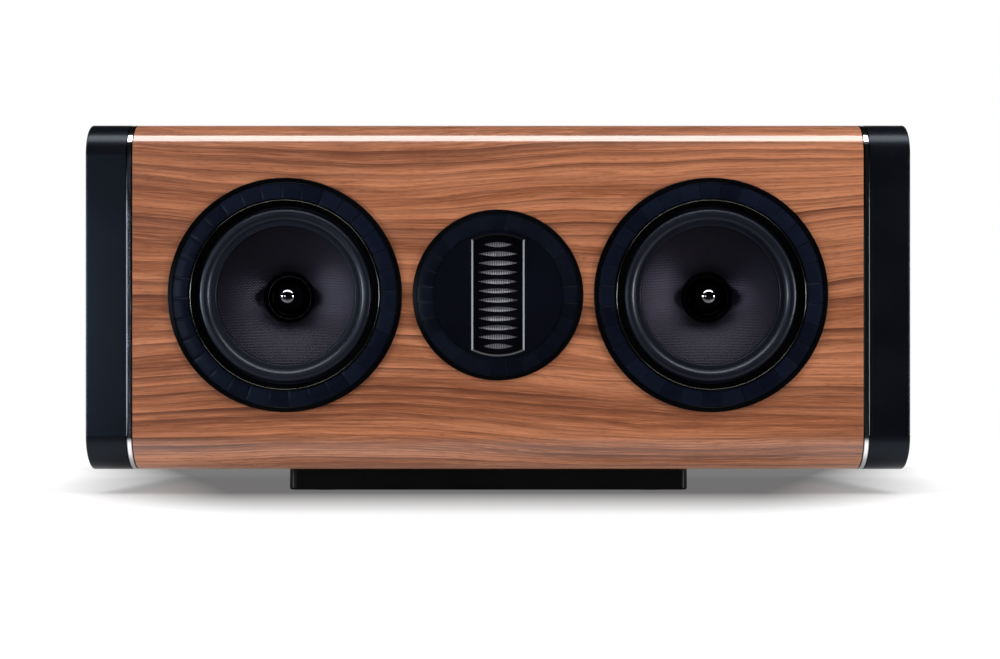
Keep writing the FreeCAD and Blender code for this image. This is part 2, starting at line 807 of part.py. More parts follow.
def make_trim_ring(label, tile_turn):
    """Turn a driver ring: inner bevel, fine bead, tiled band and rounded rim, then groove its tiles."""
    lip = "(surround_wall - landing_depth)"
    rim_top = "(ring_proud - rim_drop)"
    body = turn_piece(label, [
        (RING_BORE, lip),
        (f"{LANDING} - fit_clearance", lip),
        (f"{LANDING} - fit_clearance", "0"),
        (RING_OUTER, "0"),
        (RING_OUTER, "rim_edge"), (ARC, "rim_arc_radius", COUNTERCLOCKWISE),
        (TILE_OUTER, rim_top),
        (TILE_OUTER, f"{rim_top} - tile_recess"),
        (TILE_INNER, "ring_proud - tile_recess"),
        (TILE_INNER, "ring_proud"),
        (BEAD_INNER, "ring_proud"),
        (RING_BORE, "ring_proud - bevel_height"),
    ])
    groove_tiles(body, TILE_INNER, TILE_OUTER, tile_turn, "tile_count")
    return body


def groove_tiles(body, inner, outer, turn, count):
    """Cut the fine grooves that part a ring's band into tiles."""
    groove = new_sketch(body, "XY_Plane", "ring_proud", turn)
    draw(groove, rectangle(
        f"{inner} + groove_end", "-groove_width / 2", f"{outer} - groove_end", "groove_width / 2"))
    cut = pocket(body, groove, "rim_drop + tile_recess + groove_depth")
    repeat_round(body, cut, count)


def make_surround(label):
    """Turn the half-roll rubber surround with its two glue flanges."""
    face = "(surround_wall - landing_depth)"
    under = "-landing_depth"
    inner_arc = "((roll_width / 2 - surround_wall) * roll_fullness)"
    outer_arc = "(roll_width / 2 * roll_fullness)"
    return turn_piece(label, [
        (f"{CONE_RIM} - glue_width", under),
        (f"{CONE_RIM} + surround_wall", under), (ARC, inner_arc, CLOCKWISE),
        (f"{ROLL_OUTER} - surround_wall", under),
        (f"{LANDING} - fit_clearance", under),
        (f"{LANDING} - fit_clearance", face),
        (ROLL_OUTER, face), (ARC, outer_arc, COUNTERCLOCKWISE),
        (CONE_RIM, face),
        (f"{CONE_RIM} - glue_width", face),
    ])


def make_cone(label):
    """Turn the flared cone from its neck to the flat rim that the surround is glued to."""
    back = "(-landing_depth - cone_wall)"
    return turn_piece(label, [
        (NECK, f"-{NECK_DEPTH}"), (ARC, "cone_flare_radius", CLOCKWISE),
        (f"{CONE_RIM} - glue_width", "-landing_depth"),
        (CONE_RIM, "-landing_depth"),
        (CONE_RIM, back),
        (f"{CONE_RIM} - glue_width", back), (ARC, "cone_flare_radius", COUNTERCLOCKWISE),
        (NECK, f"-{NECK_DEPTH} - neck_height"),
    ])


def make_coil_former(label):
    """Turn the thin tube that joins the cone's neck to its winding."""
    foot = f"(-{WINDING_MIDDLE} - winding_length / 2 - former_tail)"
    return turn_piece(label, rectangle(FORMER_BORE, foot, NECK, f"-{NECK_DEPTH}"))


def make_voice_coil(label):
    """Turn the winding round the foot of the former."""
    half = "winding_length / 2"
    return turn_piece(label, rectangle(
        NECK, f"-{WINDING_MIDDLE} - {half}", WINDING, f"{half} - {WINDING_MIDDLE}"))


def make_spider(label):
    """Turn the corrugated spider that centres the former on the basket's shelf."""
    start = f"({NECK} + spider_collar)"
    step = f"(({SHELF_INNER} - {start}) / spider_half_wave_count)"
    under = "(-shelf_depth)"
    path = [(NECK, under)]
    for index in range(int(SIZES["spider_half_wave_count"]) + 1):
        rise = " + spider_wave" if index % 2 else ""
        path.append((f"{start} + {index} * {step}", under + rise))
    path.append((SPIDER_RIM, under))
    upper = [(radius, f"{height} + spider_wall") for radius, height in reversed(path)]
    return turn_piece(label, path + upper)


def make_top_plate(label):
    """Turn the steel plate in front of the magnet."""
    return turn_piece(label, rectangle(PLATE_BORE, f"-{MAGNET_FRONT}", "top_plate_radius", "-basket_depth"))


def make_magnet(label):
    """Turn the ferrite ring magnet."""
    bore = f"({PLATE_BORE} + magnet_gap)"
    return turn_piece(label, rectangle(bore, f"-{YOKE_FRONT}", "magnet_radius", f"-{MAGNET_FRONT}"))


def make_yoke(label):
    """Turn the back plate and its centre pole as one piece."""
    back = f"(-{YOKE_FRONT} - yoke_thickness)"
    return turn_piece(label, [
        ("0", back),
        ("top_plate_radius", back),
        ("top_plate_radius", f"-{YOKE_FRONT}"),
        ("pole_radius", f"-{YOKE_FRONT}"),
        ("pole_radius", "-basket_depth"),
        ("0", "-basket_depth"),
    ])


def make_phase_plug(label):
    """Turn the bullet-shaped plug that stands still on the pole."""
    radius = f"({FORMER_BORE} - plug_clearance)"
    nose_rise = "(plug_nose_radius - sqrt(plug_nose_radius ^ 2 - plug_nose_width ^ 2))"
    return turn_piece(label, [
        ("0", "-basket_depth"),
        (radius, "-basket_depth"),
        (radius, "-plug_shoulder"), (ARC, "plug_side_radius", COUNTERCLOCKWISE),
        ("plug_nose_width", f"-plug_tip - {nose_rise}"), (ARC, "plug_nose_radius", COUNTERCLOCKWISE),
        ("0", "-plug_tip"),
    ])


def make_gasket(label):
    """Turn the foam gasket between the basket's flange and its rebate."""
    front = "-flange_thickness"
    back = "(-flange_thickness - gasket_thickness)"
    body = turn_piece(label, rectangle(f"{BASKET_OUTER} + fit_clearance", back, FLANGE, front))
    holes = new_sketch(body)
    angle = woofer_screw_angle(0)
    draw_circle(
        holes, f"{SCREW_CIRCLE} * cos({angle})", f"{SCREW_CIRCLE} * sin({angle})",
        "screw_radius + screw_hole_clearance")
    repeat_round(body, pocket(body, holes, "flange_thickness + gasket_thickness"), "basket_screw_count")
    return body


def make_woofer(name, side):
    """Assemble one woofer on its side of the baffle."""
    makers = {
        "woofer_basket": make_basket,
        "woofer_gasket": make_gasket,
        "woofer_surround": make_surround,
        "woofer_cone": make_cone,
        "coil_former": make_coil_former,
        "voice_coil": make_voice_coil,
        "spider": make_spider,
        "top_plate": make_top_plate,
        "ring_magnet": make_magnet,
        "pole_yoke": make_yoke,
        "phase_plug": make_phase_plug,
    }
    x = f"{side} * woofer_offset"
    for label, maker in makers.items():
        mount_driver_piece(maker(f"{label}_{name}"), x)
    mount_driver_piece(make_trim_ring(f"trim_ring_{name}", f"{name}_tile_turn"), x)


def make_woofer_screws():
    """Make the screws that hold both baskets, hidden under the trim rings."""
    seat = f"{FRONT} + screw_head_height"
    length = "basket_screw_length"
    screws = []
    for side in SIDES.values():
        for x, z in woofer_screw_spots(side):
            screws.append(screw(x, seat, z, length, FACING_FRONT))
    group("woofer_screws", screws)


# Tweeter

def barrel_outline(half_width, arc_radius):
    """List an upright outline with straight sides and ends that follow one circle."""
    reach = f"sqrt({arc_radius} ^ 2 - {half_width} ^ 2)"
    end = (ARC, arc_radius, COUNTERCLOCKWISE)
    return [
        (half_width, f"-{reach}"),
        (half_width, reach), end,
        (f"-{half_width}", reach),
        (f"-{half_width}", f"-{reach}"), end,
    ]


def make_tweeter_plate():
    """Turn the tweeter's face plate, groove its tiled band and cut its round-edged window."""
    rim_top = "(ring_proud - rim_drop)"
    body = turn_piece("tweeter_plate", [
        ("0", "-boss_depth"),
        (BOSS_RADIUS, "-boss_depth"),
        (BOSS_RADIUS, "0"),
        (PLATE_RADIUS, "0"),
        (PLATE_RADIUS, "rim_edge"), (ARC, "rim_arc_radius", COUNTERCLOCKWISE),
        (TWEETER_TILE_OUTER, rim_top),
        (TWEETER_TILE_OUTER, f"{rim_top} - tile_recess"),
        ("tweeter_tile_inner", "ring_proud - tile_recess"),
        ("tweeter_tile_inner", "ring_proud"),
        ("0", "ring_proud"),
    ])
    groove_tiles(
        body, "tweeter_tile_inner", TWEETER_TILE_OUTER, "180 / tweeter_tile_count", "tweeter_tile_count")
    sketch = new_sketch(body, "XY_Plane", "ring_proud")
    half = "(window_width / 2)"
    draw(sketch, barrel_outline(half, "window_arc_radius"))
    window = pocket(body, sketch, "ring_proud + boss_depth")
    face = value("ring_proud")
    arc = value("window_arc_radius")

    def in_window(middle):
        return math.hypot(middle.x, middle.y) < arc + TINY

    def on_corner(edge, middle):
        return in_window(middle) and edge.BoundBox.ZLength > edge.BoundBox.XLength + edge.BoundBox.YLength

    def on_rim(edge, middle):
        return in_window(middle) and abs(middle.z - face) < TINY

    corners = round_edges(body, window, on_corner, "window_corner_radius")
    round_edges(body, corners, on_rim, "window_edge_radius")
    mount_driver_piece(body, "0")


def lens_outline(width, height):
    """List a pointed slot bounded by two like arcs."""
    radius = f"((({width} / 2) ^ 2 + (slot_height / 2) ^ 2) / slot_height)"
    side = (ARC, radius, COUNTERCLOCKWISE)
    return [(f"-{width} / 2", height), side, (f"{width} / 2", height), side]


def make_slotted_pole(label, front):
    """Cut a steel pole plate with its column of pointed slots, the first and last one shorter."""
    body = new_body(label)
    height = f"-{front}"
    plate = new_sketch(body, "XY_Plane", height)
    draw(plate, barrel_outline(MOTOR_HALF, MOTOR_ARC))
    pad(body, plate, "pole_plate_thickness", reverse=True)
    ends = new_sketch(body, "XY_Plane", height)
    end_height = "(slot_count - 1) / 2 * slot_pitch"
    draw(ends, lens_outline("end_slot_width", f"-{end_height}"))
    draw(ends, lens_outline("end_slot_width", end_height))
    pocket(body, ends, "pole_plate_thickness")
    first = new_sketch(body, "XY_Plane", height)
    draw(first, lens_outline("slot_width", "-(slot_count - 3) / 2 * slot_pitch"))
    slot = pocket(body, first, "pole_plate_thickness")
    repeat_along(body, slot, "Y_Axis", "(slot_count - 3) * slot_pitch", "slot_count - 2")
    mount_driver_piece(body, "0")


def make_pleated_film():
    """Fold the film into upright pleats between the two pole plates."""
    body = new_body("pleated_film")
    sketch = new_sketch(body, "XZ_Plane")
    crest = f"(-{FILM_FRAME_FRONT} - film_gap)"
    root = f"({crest} - pleat_depth)"
    start = f"(-{FILM_HALF})"
    path = [
        (start, crest),
        (f"{start} + pleat_pitch / 2", root),
        (f"{start} + pleat_pitch", crest),
    ]
    back = [(x, f"{z} - fold_wall") for x, z in reversed(path)]
    draw(sketch, path + back)
    pleat = pad(body, sketch, "film_height", both_ways=True)
    repeat_along(body, pleat, "X_Axis", "(pleat_count - 1) * pleat_pitch", "pleat_count")
    mount_driver_piece(body, "0")


def make_film_frame():
    """Cut the frame that holds the film's edges."""
    body = new_body("film_frame")
    sketch = new_sketch(body, "XY_Plane", f"-{FILM_FRAME_FRONT}")
    half_height = "(film_height / 2)"
    draw(sketch, rectangle(f"-{FILM_HALF}", f"-{half_height}", FILM_HALF, half_height))
    outer_x = f"({FILM_HALF} + film_frame_wall)"
    outer_y = f"({half_height} + film_frame_wall)"
    draw(sketch, rectangle(f"-{outer_x}", f"-{outer_y}", outer_x, outer_y))
    pad(body, sketch, "film_frame_thickness", reverse=True)
    mount_driver_piece(body, "0")


def make_tweeter_magnet(name, side):
    """Lay a bar magnet beside the film, between the pole plates."""
    width = f"{MOTOR_HALF} - {MAGNET_INNER}"
    label = f"tweeter_magnet_{name}"
    item = keep(box(label, width, "film_frame_thickness", "tweeter_magnet_length"), label)
    x = f"-{MOTOR_HALF}" if side == LEFT else MAGNET_INNER
    place(item, x, f"{FRONT} + {FILM_FRAME_FRONT}", f"{MIDDLE} - tweeter_magnet_length / 2")


def make_tweeter_cup():
    """Turn the cup that closes the tweeter's back."""
    floor = "(cup_wall - cup_depth)"
    body = turn_piece("tweeter_cup", [
        (CUP_BORE, "-boss_depth"),
        (CUP_RADIUS, "-boss_depth"),
        (CUP_RADIUS, "-cup_depth"),
        ("0", "-cup_depth"),
        ("0", floor),
        (CUP_BORE, floor),
    ])
    mount_driver_piece(body, "0")


# Back of the cabinet

def mount_rear_piece(body, x):
    """Stand a piece on the cabinet's back, facing away from the listener."""
    place(body, x, REAR, MIDDLE, FACING_BACK)


def make_port(name, side):
    """Turn a reflex port with its flange and flared mouth."""
    body = turn_piece(f"port_{name}", [
        (PORT_COLLAR, "0"),
        (f"{PORT_COLLAR} + port_flange_width", "0"),
        (f"{PORT_COLLAR} + port_flange_width", "-rear_flange"),
        (PORT_COLLAR, "-rear_flange"),
        (PORT_COLLAR, "-port_flare"),
        ("port_bore + port_wall", "-port_flare"),
        ("port_bore + port_wall", "-port_length"),
        ("port_bore", "-port_length"),
        ("port_bore", "-port_flare"), (ARC, "port_flare", CLOCKWISE),
    ])
    mount_rear_piece(body, f"{side} * port_offset")


def terminal_outline(margin):
    """List the terminal cup's outline, drawn out by a margin."""
    half_x = f"(terminal_width / 2 + {margin})"
    half_y = f"(terminal_height / 2 + {margin})"
    radius = f"(terminal_corner_radius + {margin})"
    return rounded_rectangle(f"-{half_x}", f"-{half_y}", half_x, half_y, radius)


def make_terminal_cup():
    """Mould the recessed cup with its flange and the two holes for the posts."""
    body = new_body("terminal_cup")
    flange = new_sketch(body)
    draw(flange, terminal_outline("terminal_flange"))
    pad(body, flange, "rear_flange", reverse=True)
    shell = new_sketch(body)
    draw(shell, terminal_outline("terminal_wall"))
    pad(body, shell, "terminal_recess + terminal_wall", reverse=True)
    hollow = new_sketch(body)
    draw(hollow, terminal_outline("0"))
    pocket(body, hollow, "terminal_recess")
    holes = new_sketch(body)
    for side in SIDES.values():
        draw_circle(holes, f"{side} * post_spacing / 2", "0", "stem_radius + fit_clearance")
    pocket(body, holes, "terminal_recess + terminal_wall")
    mount_rear_piece(body, "0")


def make_post(name, side):
    """Turn a binding post: its socketed stem, its clamp washer and its fluted cap."""
    x = f"{side} * post_spacing / 2"
    tail = f"({POST_FLOOR} - terminal_wall - stem_tail)"
    stem = turn_piece(f"post_stem_{name}", [
        ("socket_radius", STEM_TIP),
        ("stem_radius", STEM_TIP),
        ("stem_radius", COLLAR_TOP),
        ("collar_radius", COLLAR_TOP),
        ("collar_radius", POST_FLOOR),
        ("stem_radius", POST_FLOOR),
        ("stem_radius", tail),
        ("0", tail),
        ("0", f"{STEM_TIP} - socket_depth"),
        ("socket_radius", f"{STEM_TIP} - socket_depth"),
    ])
    mount_rear_piece(stem, x)
    washer = turn_piece(
        f"post_washer_{name}", rectangle(CAP_BORE, COLLAR_TOP, "washer_radius", WASHER_TOP))
    mount_rear_piece(washer, x)
    top = f"({WASHER_TOP} + cap_length)"
    cap = turn_piece(f"post_cap_{name}", [
        (CAP_BORE, WASHER_TOP),
        ("cap_radius", WASHER_TOP),
        ("cap_radius", f"{top} - cap_edge"),
        ("cap_radius - cap_edge", top),
        (CAP_BORE, top),
    ])
    flute = new_sketch(cap, "XY_Plane", top)
    draw_circle(flute, "cap_radius + flute_radius - flute_depth", "0", "flute_radius")
    repeat_round(cap, pocket(cap, flute, "cap_length - 2 * cap_edge"), "flute_count")
    mount_rear_piece(cap, x)


def make_post_nuts():
    """Make the nuts that hold the posts from inside."""
    nuts = []
    for side in SIDES.values():
        prism = document.addObject("Part::Prism", "nut_block")
        prism.Polygon = 6
        bind(prism, "Circumradius", "nut_radius")
        bind(prism, "Height", "nut_height")
        nut = combine("Part::Cut", "nut", prism, cylinder("nut_bore", "stem_radius", "nut_height"))
        face = f"{REAR} - terminal_recess - terminal_wall"
        place(nut, f"{side} * post_spacing / 2", face, MIDDLE, FACING_FRONT)
        nuts.append(nut)
    group("post_nuts", nuts)


# Crossover

BOARD_TOP = f"({ROOM_FLOOR} + board_thickness)"


def make_crossover():
    """Lay the crossover on the cabinet's floor: board, ring chokes and capacitors."""
    board = keep(box("crossover_board", "board_length", "board_width", "board_thickness"), "crossover_board")
    place(board, "-board_length / 2", "-board_width / 2", ROOM_FLOOR)
    chokes = []
    for side in SIDES.values():
        outer = cylinder("choke_outer", "choke_radius", "choke_height")
        bore = cylinder("choke_bore_tool", "choke_bore", "choke_height")
        choke = combine("Part::Cut", "choke", outer, bore)
        place(choke, f"{side} * choke_spacing / 2", "choke_setback", BOARD_TOP)
        chokes.append(choke)
    group("crossover_chokes", chokes)
    capacitors = []
    along_y = FreeCAD.Rotation(FreeCAD.Vector(1, 0, 0), 90)
    for index in (-1, 0, 1):
        capacitor = cylinder("capacitor", "capacitor_radius", "capacitor_length")
        height = f"{BOARD_TOP} + capacitor_radius"
        y = "capacitor_length / 2 - capacitor_advance"
        place(capacitor, f"{index} * capacitor_spacing", y, height, along_y)
        capacitors.append(capacitor)
    group("crossover_capacitors", capacitors)


def check_and_write():
    """Stop on any failed feature or bad shape, then write each piece to its own file."""
    document.recompute()
    failed = [item.Label for item in document.Objects if {"Invalid", "Error"} & set(item.State)]
    bad = [item.Label for item in pieces if item.Shape.isNull() or not item.Shape.isValid()]
    if failed or bad:
        raise RuntimeError(f"failed features: {failed}, bad shapes: {bad}")
    os.makedirs("parts", exist_ok=True)
    for item in pieces:
        item.Shape.exportStep(f"parts/{item.Label}.step")


fill_sheet()
make_cabinet_shell()
make_back_panel()
make_plinth()
make_feet()
make_plinth_screws()
for side_name, side_sign in SIDES.items():
    make_end_cheek(side_name, side_sign)
    make_trim_band(side_name, side_sign)
    make_brace(side_name, side_sign)
    make_lining(side_name, side_sign)
    make_woofer(side_name, side_sign)
    make_tweeter_magnet(side_name, side_sign)
    make_port(side_name, side_sign)
    make_post(side_name, side_sign)
make_woofer_screws()
make_tweeter_plate()
make_slotted_pole("front_pole_plate", "boss_depth")
make_slotted_pole("rear_pole_plate", REAR_POLE_FRONT)
make_pleated_film()
make_film_frame()
make_tweeter_cup()
make_terminal_cup()
make_post_nuts()
make_crossover()
check_and_write()
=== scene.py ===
import logging
import math
import random
from dataclasses import dataclass, field
from enum import Enum, IntEnum
from functools import lru_cache
from typing import Callable, Sequence

import bmesh
import bpy
from mathutils import Matrix, Vector


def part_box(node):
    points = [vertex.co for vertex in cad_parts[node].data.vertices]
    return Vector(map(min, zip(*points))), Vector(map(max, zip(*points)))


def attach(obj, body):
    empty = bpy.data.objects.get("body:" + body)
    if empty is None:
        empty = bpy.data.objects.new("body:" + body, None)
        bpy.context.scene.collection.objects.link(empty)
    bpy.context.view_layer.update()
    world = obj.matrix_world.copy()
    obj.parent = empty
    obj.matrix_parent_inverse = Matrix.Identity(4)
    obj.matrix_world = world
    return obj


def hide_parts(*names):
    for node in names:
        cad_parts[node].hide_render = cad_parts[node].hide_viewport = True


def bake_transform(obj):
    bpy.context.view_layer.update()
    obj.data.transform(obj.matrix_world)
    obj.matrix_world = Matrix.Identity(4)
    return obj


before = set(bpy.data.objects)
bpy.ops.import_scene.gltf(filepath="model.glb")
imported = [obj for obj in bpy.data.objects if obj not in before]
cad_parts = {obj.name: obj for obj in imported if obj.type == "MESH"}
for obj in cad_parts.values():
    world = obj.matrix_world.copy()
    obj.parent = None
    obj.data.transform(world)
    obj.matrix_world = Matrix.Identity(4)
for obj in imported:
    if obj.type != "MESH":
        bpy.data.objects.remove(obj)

# Looks of a centre channel loudspeaker: a gloss walnut cabinet between black cheeks, two woven
# cone woofers and a pleated-film tweeter. Metres, with +X right, +Y to the back and +Z up.

LOG = logging.getLogger("speaker")
MM = 0.001
FULL_TURN = 2 * math.pi
QUARTER_TURN = math.pi / 2
CREASE = math.radians(32)
WELD = 1e-6
FINE_WELD = 1e-7
NOISE_SPAN = (0.3, 0.7)
TILE_TONE = "tile_tone"

Colour = tuple[float, float, float]
Point = tuple[float, float, float]
Span = tuple[float, float]
Socket = bpy.types.NodeSocket
Value = float | Colour | Socket


class Side(Enum):
    """The two ends of the cabinet, as a listener sees them."""

    LEFT = "left"
    RIGHT = "right"


class Reach(Enum):
    """What a lamp falls on: everything, or the object without the floor."""

    ALL = "all"
    OBJECT = "object"


class RingZone(IntEnum):
    """The finishes of a woofer's ring, by their numbers on its faces."""

    RIM, BEAD, GROOVE, TILES, BEVEL = range(5)


class PlateZone(IntEnum):
    """The finishes of the tweeter's plate, by their numbers on its faces."""

    RIM, GROOVE, FACE, TILES, SLOPE = range(5)


class ConeZone(IntEnum):
    """The finishes of a cone, by their numbers on its faces."""

    WEAVE, NECK = range(2)


class NodeGraph:
    """The nodes of one tree, joined as they are added."""

    def __init__(self, tree: bpy.types.NodeTree) -> None:
        """Start with an empty tree."""
        self.tree = tree
        tree.nodes.clear()

    def feed(self, socket: Socket, value: Value) -> None:
        """Link a socket to another one, or set its own number or colour.

        Args:
            socket: The input to feed.
            value: Another node's output, a number, or a colour or vector.
        """
        if isinstance(value, bpy.types.NodeSocket):
            self.tree.links.new(value, socket)
        elif socket.type == "RGBA":
            socket.default_value = (*value, 1.0)
        else:
            socket.default_value = value

    def add(
        self, kind: str, inputs: dict[str | int, Value], output: str | int = 0, **settings: object
    ) -> Socket | None:
        """Add a node and feed its inputs.

        Args:
            kind: The node's type.
            inputs: What goes into it, by socket name or number.
            output: Which of its outputs is wanted.
            **settings: The node's own options.

        Returns:
            The wanted output, or nothing from a node that has none.
        """
        node = self.tree.nodes.new(kind)
        for name, setting in settings.items():
            setattr(node, name, setting)
        for key, value in inputs.items():
            self.feed(node.inputs[key], value)
        return node.outputs[output] if node.outputs else None

    def axis(self, vector: Socket, letter: str) -> Socket:
        """Give one part of a vector: X, Y or Z."""
        return self.add("ShaderNodeSeparateXYZ", {0: vector}, letter)

    def ray(self, kind: str) -> Socket:
        """Give 1 for rays of a kind, such as Camera or Glossy, and 0 for others."""
        return self.add("ShaderNodeLightPath", {}, f"Is {kind} Ray")

    def spot(self) -> Socket:
        """Give the surface's own Object coordinates."""
        return self.add("ShaderNodeTexCoord", {}, "Object")

    def cells(self, cell: Point, centre: Point = (0, 0, 0), spot: Socket | None = None) -> Socket:
        """Count coordinates in cells of a size about a centre.

        Args:
            cell: The cell's size along X, Y and Z, in metres.
            centre: Where counting starts.
            spot: Coordinates to count, in place of the Object coordinates.

        Returns:
            The counted coordinates.
        """
        inputs = {"Vector": spot or self.spot(), "Location": centre, "Scale": cell}
        return self.add("ShaderNodeMapping", inputs, vector_type="TEXTURE")

    def noise(self, cells: Socket, detail: float = 2.0, roughness: float = 0.5) -> Socket:
        """Give soft noise about one cell across.

        Args:
            cells: Counted coordinates.
            detail: How many finer layers are added.
            roughness: How strong those layers are.

        Returns:
            A value that stays near a half.
        """
        inputs = {"Vector": cells, "Scale": 1.0, "Detail": detail, "Roughness": roughness}
        return self.add("ShaderNodeTexNoise", inputs, "Fac")

    def mottle(self, size: float, detail: float = 2.0, roughness: float = 0.5) -> Socket:
        """Give soft noise of one size along every axis."""
        return self.noise(self.cells((size,) * 3), detail, roughness)

    def remap(
        self, value: Value, low: float, high: float, to_low: float = 0.0, to_high: float = 1.0
    ) -> Socket:
        """Stretch a span of values over another span, and hold it there.

        Args:
            value: What is stretched.
            low: Where the span starts.
            high: Where it ends.
            to_low: What its start becomes.
            to_high: What its end becomes.

        Returns:
            The stretched value.
        """
        inputs = {
            "Value": value, "From Min": low, "From Max": high, "To Min": to_low, "To Max": to_high}
        return self.add("ShaderNodeMapRange", inputs, "Result")

    def spread(self, noise: Socket, to_low: float = 0.0, to_high: float = 1.0) -> Socket:
        """Stretch the usual span of noise over another span."""
        return self.remap(noise, *NOISE_SPAN, to_low, to_high)

    def maths(self, operation: str, *values: Value) -> Socket:
        """Work out one sum of values."""
        return self.add("ShaderNodeMath", dict(enumerate(values)), operation=operation)

    def mix(self, factor: Value, first: Value, second: Value) -> Socket:
        """Mix two colours, with the second laid over the first by a factor."""
        return self.add("ShaderNodeMix", {0: factor, 6: first, 7: second}, 2, data_type="RGBA")

    def bump(self, height: Value, depth: float) -> Socket:
        """Turn a height from 0 to 1 into a relief of a depth in metres."""
        return self.add("ShaderNodeBump", {"Height": height, "Distance": depth}, "Normal")

    def glow(self, strength: Value) -> Socket:
        """Give a white glow of a strength."""
        return self.add("ShaderNodeEmission", {"Color": (1.0, 1.0, 1.0), "Strength": strength})

    def blend(self, factor: Value, first: Socket, second: Socket) -> Socket:
        """Blend two shaders, with the second shown by a factor."""
        return self.add("ShaderNodeMixShader", {0: factor, 1: first, 2: second})

    def choose(self, factor: Value, first: Value, second: Value) -> Socket:
        """Go from one number to another by a factor."""
        return self.add("ShaderNodeMix", {0: factor, 2: first, 3: second}, data_type="FLOAT")


class ShaderGraph(NodeGraph):
    """The nodes of one material, joined from its pattern to its shader."""

    def __init__(self, name: str) -> None:
        """Start a graph with a Principled shader on its output.

        Args:
            name: The material's name.
        """
        self.material = bpy.data.materials.new(name)
        self.material.use_nodes = True
        super().__init__(self.material.node_tree)
        self.shader = self.tree.nodes.new("ShaderNodeBsdfPrincipled")
        self.add("ShaderNodeOutputMaterial", {"Surface": self.shader.outputs["BSDF"]})

    def shade(self, inputs: dict[str, Value]) -> None:
        """Feed the Principled shader."""
        for name, value in inputs.items():
            self.feed(self.shader.inputs[name], value)


@dataclass(frozen=True)
class Finish:
    """What a surface is made of. Each kind paints its own graph."""

    name: str

    def paint(self, graph: ShaderGraph) -> None:
        """Draw the finish as nodes."""
        raise NotImplementedError


@lru_cache(maxsize=None)
def material_of(finish: Finish) -> bpy.types.Material:
    """Make a finish's material once.

    Args:
        finish: What the surface is made of.

    Returns:
        The material that every piece of that finish shares.
    """
    graph = ShaderGraph(finish.name)
    finish.paint(graph)
    return graph.material


def scaled(colour: Colour, share: float) -> Colour:
    """Darken or lighten a colour by a share."""
    return tuple(part * share for part in colour)


